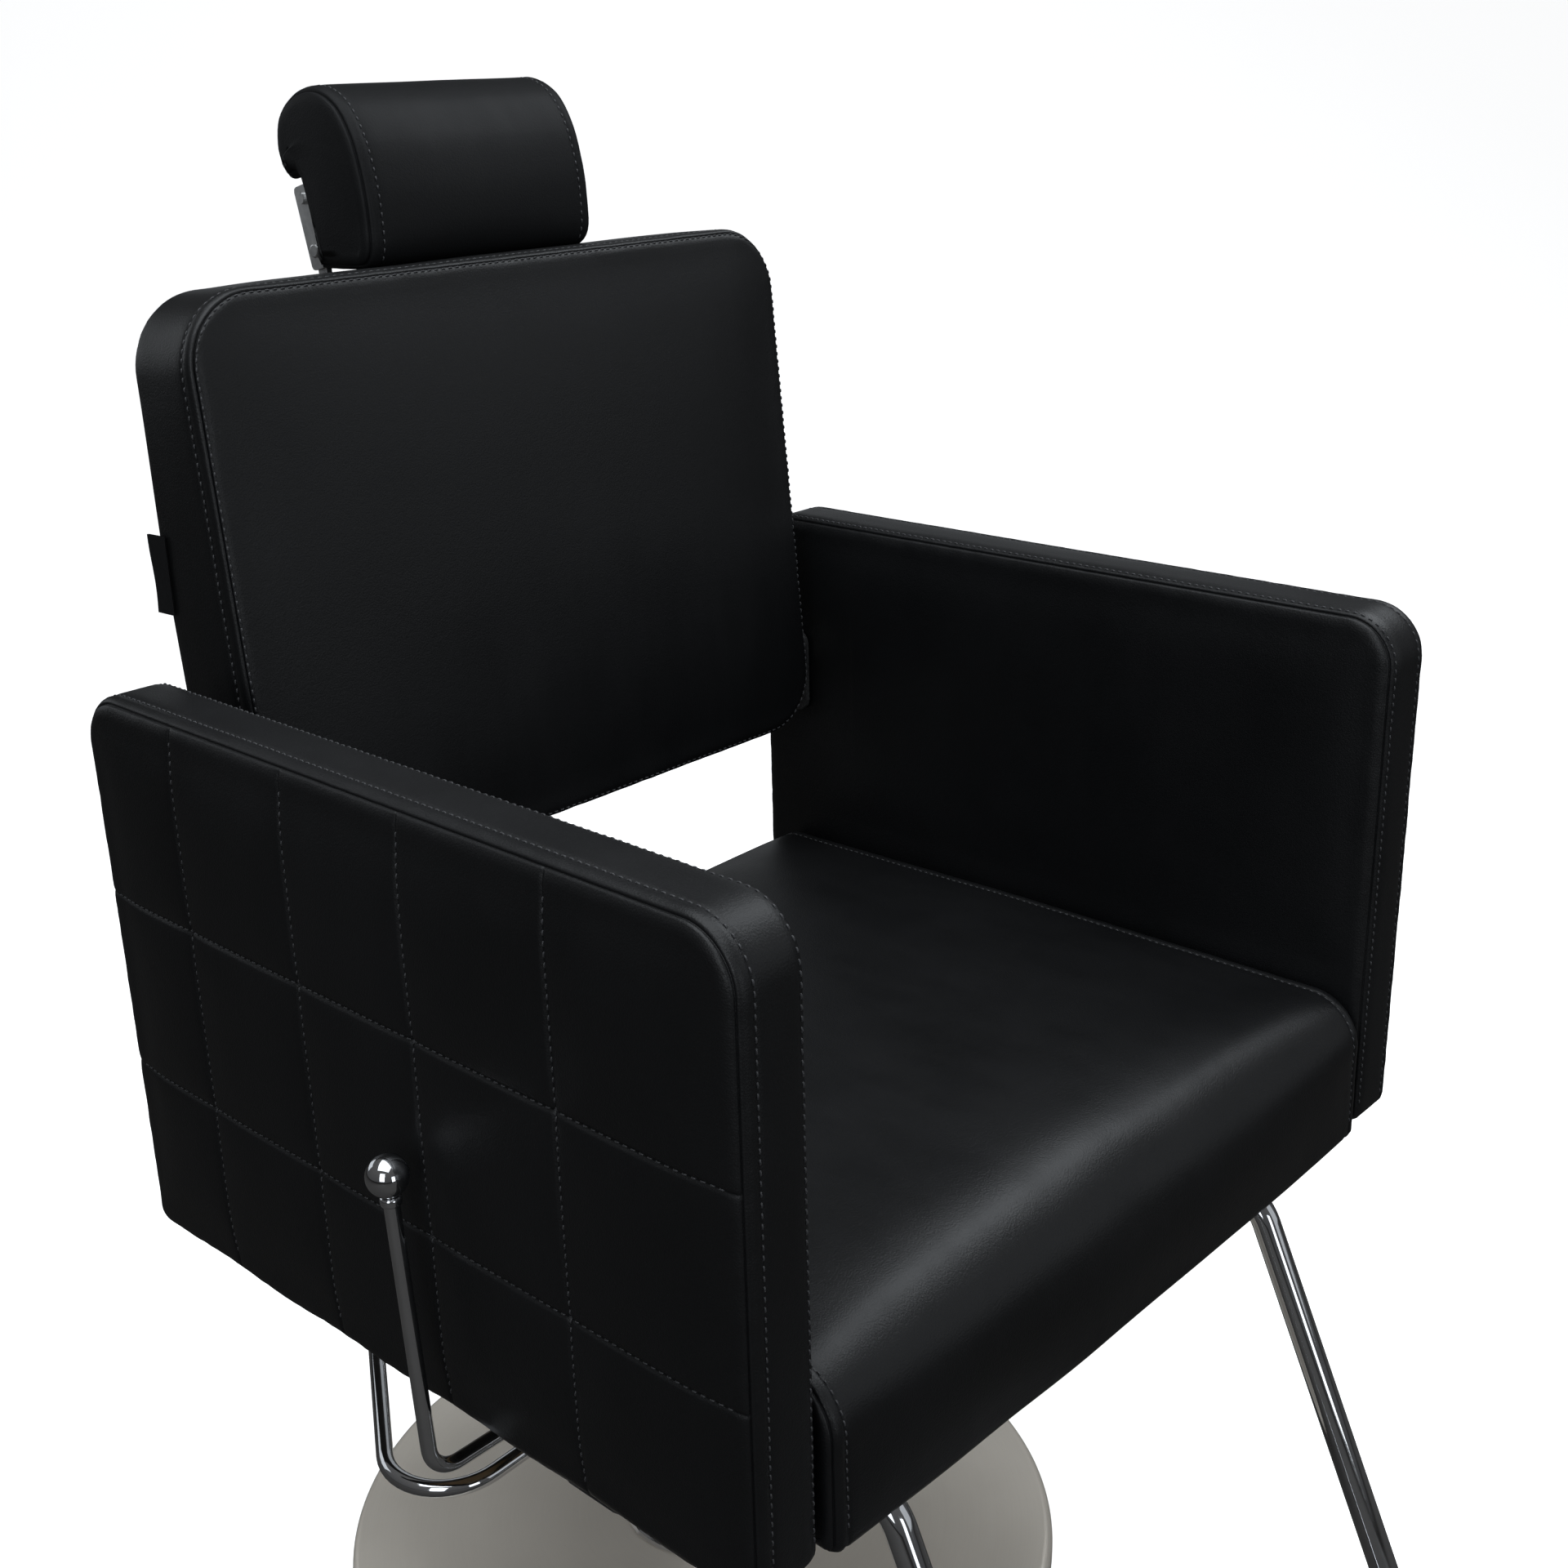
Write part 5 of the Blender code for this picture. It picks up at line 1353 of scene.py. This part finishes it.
CAMERA_TURN = math.radians(-45.876)
CAMERA_TILT = math.radians(19.992)
CAMERA_ROLL = math.radians(1.932)
CAMERA_PLACE = Vector((-0.8551, -0.8993, 1.0725))
SENSOR = 36.0
FOCAL = 45.058
SHIFT_X, SHIFT_Y = 0.0264, -0.0087
COOL = (0.90, 0.95, 1.0)
CHAIR_MIDDLE, FLOOR_MIDDLE = (0, 0, 0.55), (0, 0, 0.2)
# Softboxes: name, place, aim, width, height and watts.
SOFTBOXES = [("top_softbox", (-0.6, -0.3, 2.9), CHAIR_MIDDLE, 2.6, 2.6, 56),
             ("key_softbox", (1.9, -0.6, 2.8), CHAIR_MIDDLE, 1.7, 1.7, 31),
             ("front_softbox", (1.6, -2.8, 1.3), CHAIR_MIDDLE, 2.2, 1.8, 6),
             ("low_front_softbox", (-0.6, -3.0, 0.8), CHAIR_MIDDLE, 0.8, 1.2, 7),
             ("left_softbox", (-2.3, -1.2, 1.3), FLOOR_MIDDLE, 1.0, 1.6, 15),
             ("wall_softbox", (2.6, 2.6, 1.3), CHAIR_MIDDLE, 3.0, 1.8, 6),
             ("rear_softbox", (-1.0, 3.2, 1.6), CHAIR_MIDDLE, 2.0, 1.4, 7)]
ROOM_GLOW, ROOM_SEEN = 0.12, 1.0


def make_backdrop():
    """Floor that curves up into a wall behind, all one sheet."""
    width, front, rear, rise, bend = 12.0, -6.0, 5.0, 6.0, 2.0
    path = [(front, 0.0), (0.0, 0.0)]
    path += [(rear - bend + y, z + bend) for y, z in corner_arc((0, 0), bend, -90, 0, 24)]
    path += [(rear, rise)]
    points = [(side * width / 2, y, z) for y, z in path for side in (-1, 1)]
    faces = [(2 * i, 2 * i + 1, 2 * i + 3, 2 * i + 2) for i in range(len(path) - 1)]
    floor = new_piece("studio_backdrop", points, faces, studio_floor())
    floor.rotation_euler.z = CAMERA_TURN


def make_camera():
    forward = Vector((-math.sin(CAMERA_TURN) * math.cos(CAMERA_TILT),
                      math.cos(CAMERA_TURN) * math.cos(CAMERA_TILT), -math.sin(CAMERA_TILT)))
    right = forward.cross(Vector((0, 0, 1))).normalized()
    down = forward.cross(right)
    across = right * math.cos(CAMERA_ROLL) + down * math.sin(CAMERA_ROLL)
    down = down * math.cos(CAMERA_ROLL) - right * math.sin(CAMERA_ROLL)
    lens = bpy.data.cameras.new("studio_camera")
    lens.sensor_width = SENSOR
    lens.lens = FOCAL
    lens.shift_x = SHIFT_X
    lens.shift_y = SHIFT_Y
    lens.clip_start = 0.05
    lens.clip_end = 60.0
    camera = bpy.data.objects.new("studio_camera", lens)
    SCENE.collection.objects.link(camera)
    turn = Matrix((across, -down, -forward)).transposed().to_4x4()
    camera.matrix_world = Matrix.Translation(CAMERA_PLACE) @ turn
    SCENE.camera = camera


def add_softbox(name, place, target, width, height, power):
    light = bpy.data.lights.new(name, "AREA")
    light.shape = "RECTANGLE"
    light.size = width
    light.size_y = height
    light.energy = power
    light.color = COOL
    made = bpy.data.objects.new(name, light)
    made.visible_camera = False
    SCENE.collection.objects.link(made)
    place = Vector(place)
    made.matrix_world = (Matrix.Translation(place)
                         @ (place - Vector(target)).to_track_quat("Z", "Y").to_matrix().to_4x4())


def make_lights():
    for softbox in SOFTBOXES:
        add_softbox(*softbox)
    world = bpy.data.worlds.new("studio_world")
    SCENE.world = world
    world.use_nodes = True
    net = Net(world.node_tree)
    background = world.node_tree.nodes["Background"]
    here = net.node("ShaderNodeTexCoord")
    split = net.node("ShaderNodeSeparateXYZ")
    net.set(split.inputs[0], here.outputs["Generated"])
    height = net.ramp(split.outputs["Z"], -0.1, 0.9)
    net.set(background.inputs["Color"], net.mix(height, (0.55, 0.56, 0.58, 1), (1.0, 1.0, 1.0, 1)))
    seen = net.node("ShaderNodeLightPath").outputs["Is Camera Ray"]
    net.set(background.inputs["Strength"], net.ramp(seen, 0, 1, ROOM_GLOW, ROOM_SEEN))


# ---------------------------------------------------------------- build

SCENE.view_settings.view_transform = "Standard"
make_camera()
make_backdrop()
make_lights()
make_arm(1, "left")
make_arm(-1, "right")
make_seat()
make_back()
make_rear_panel()
make_headrest()
make_base_cover()
make_footrest()
make_foot_lever()
make_recline_lever()
make_side_tag()
dress_cad_nodes()
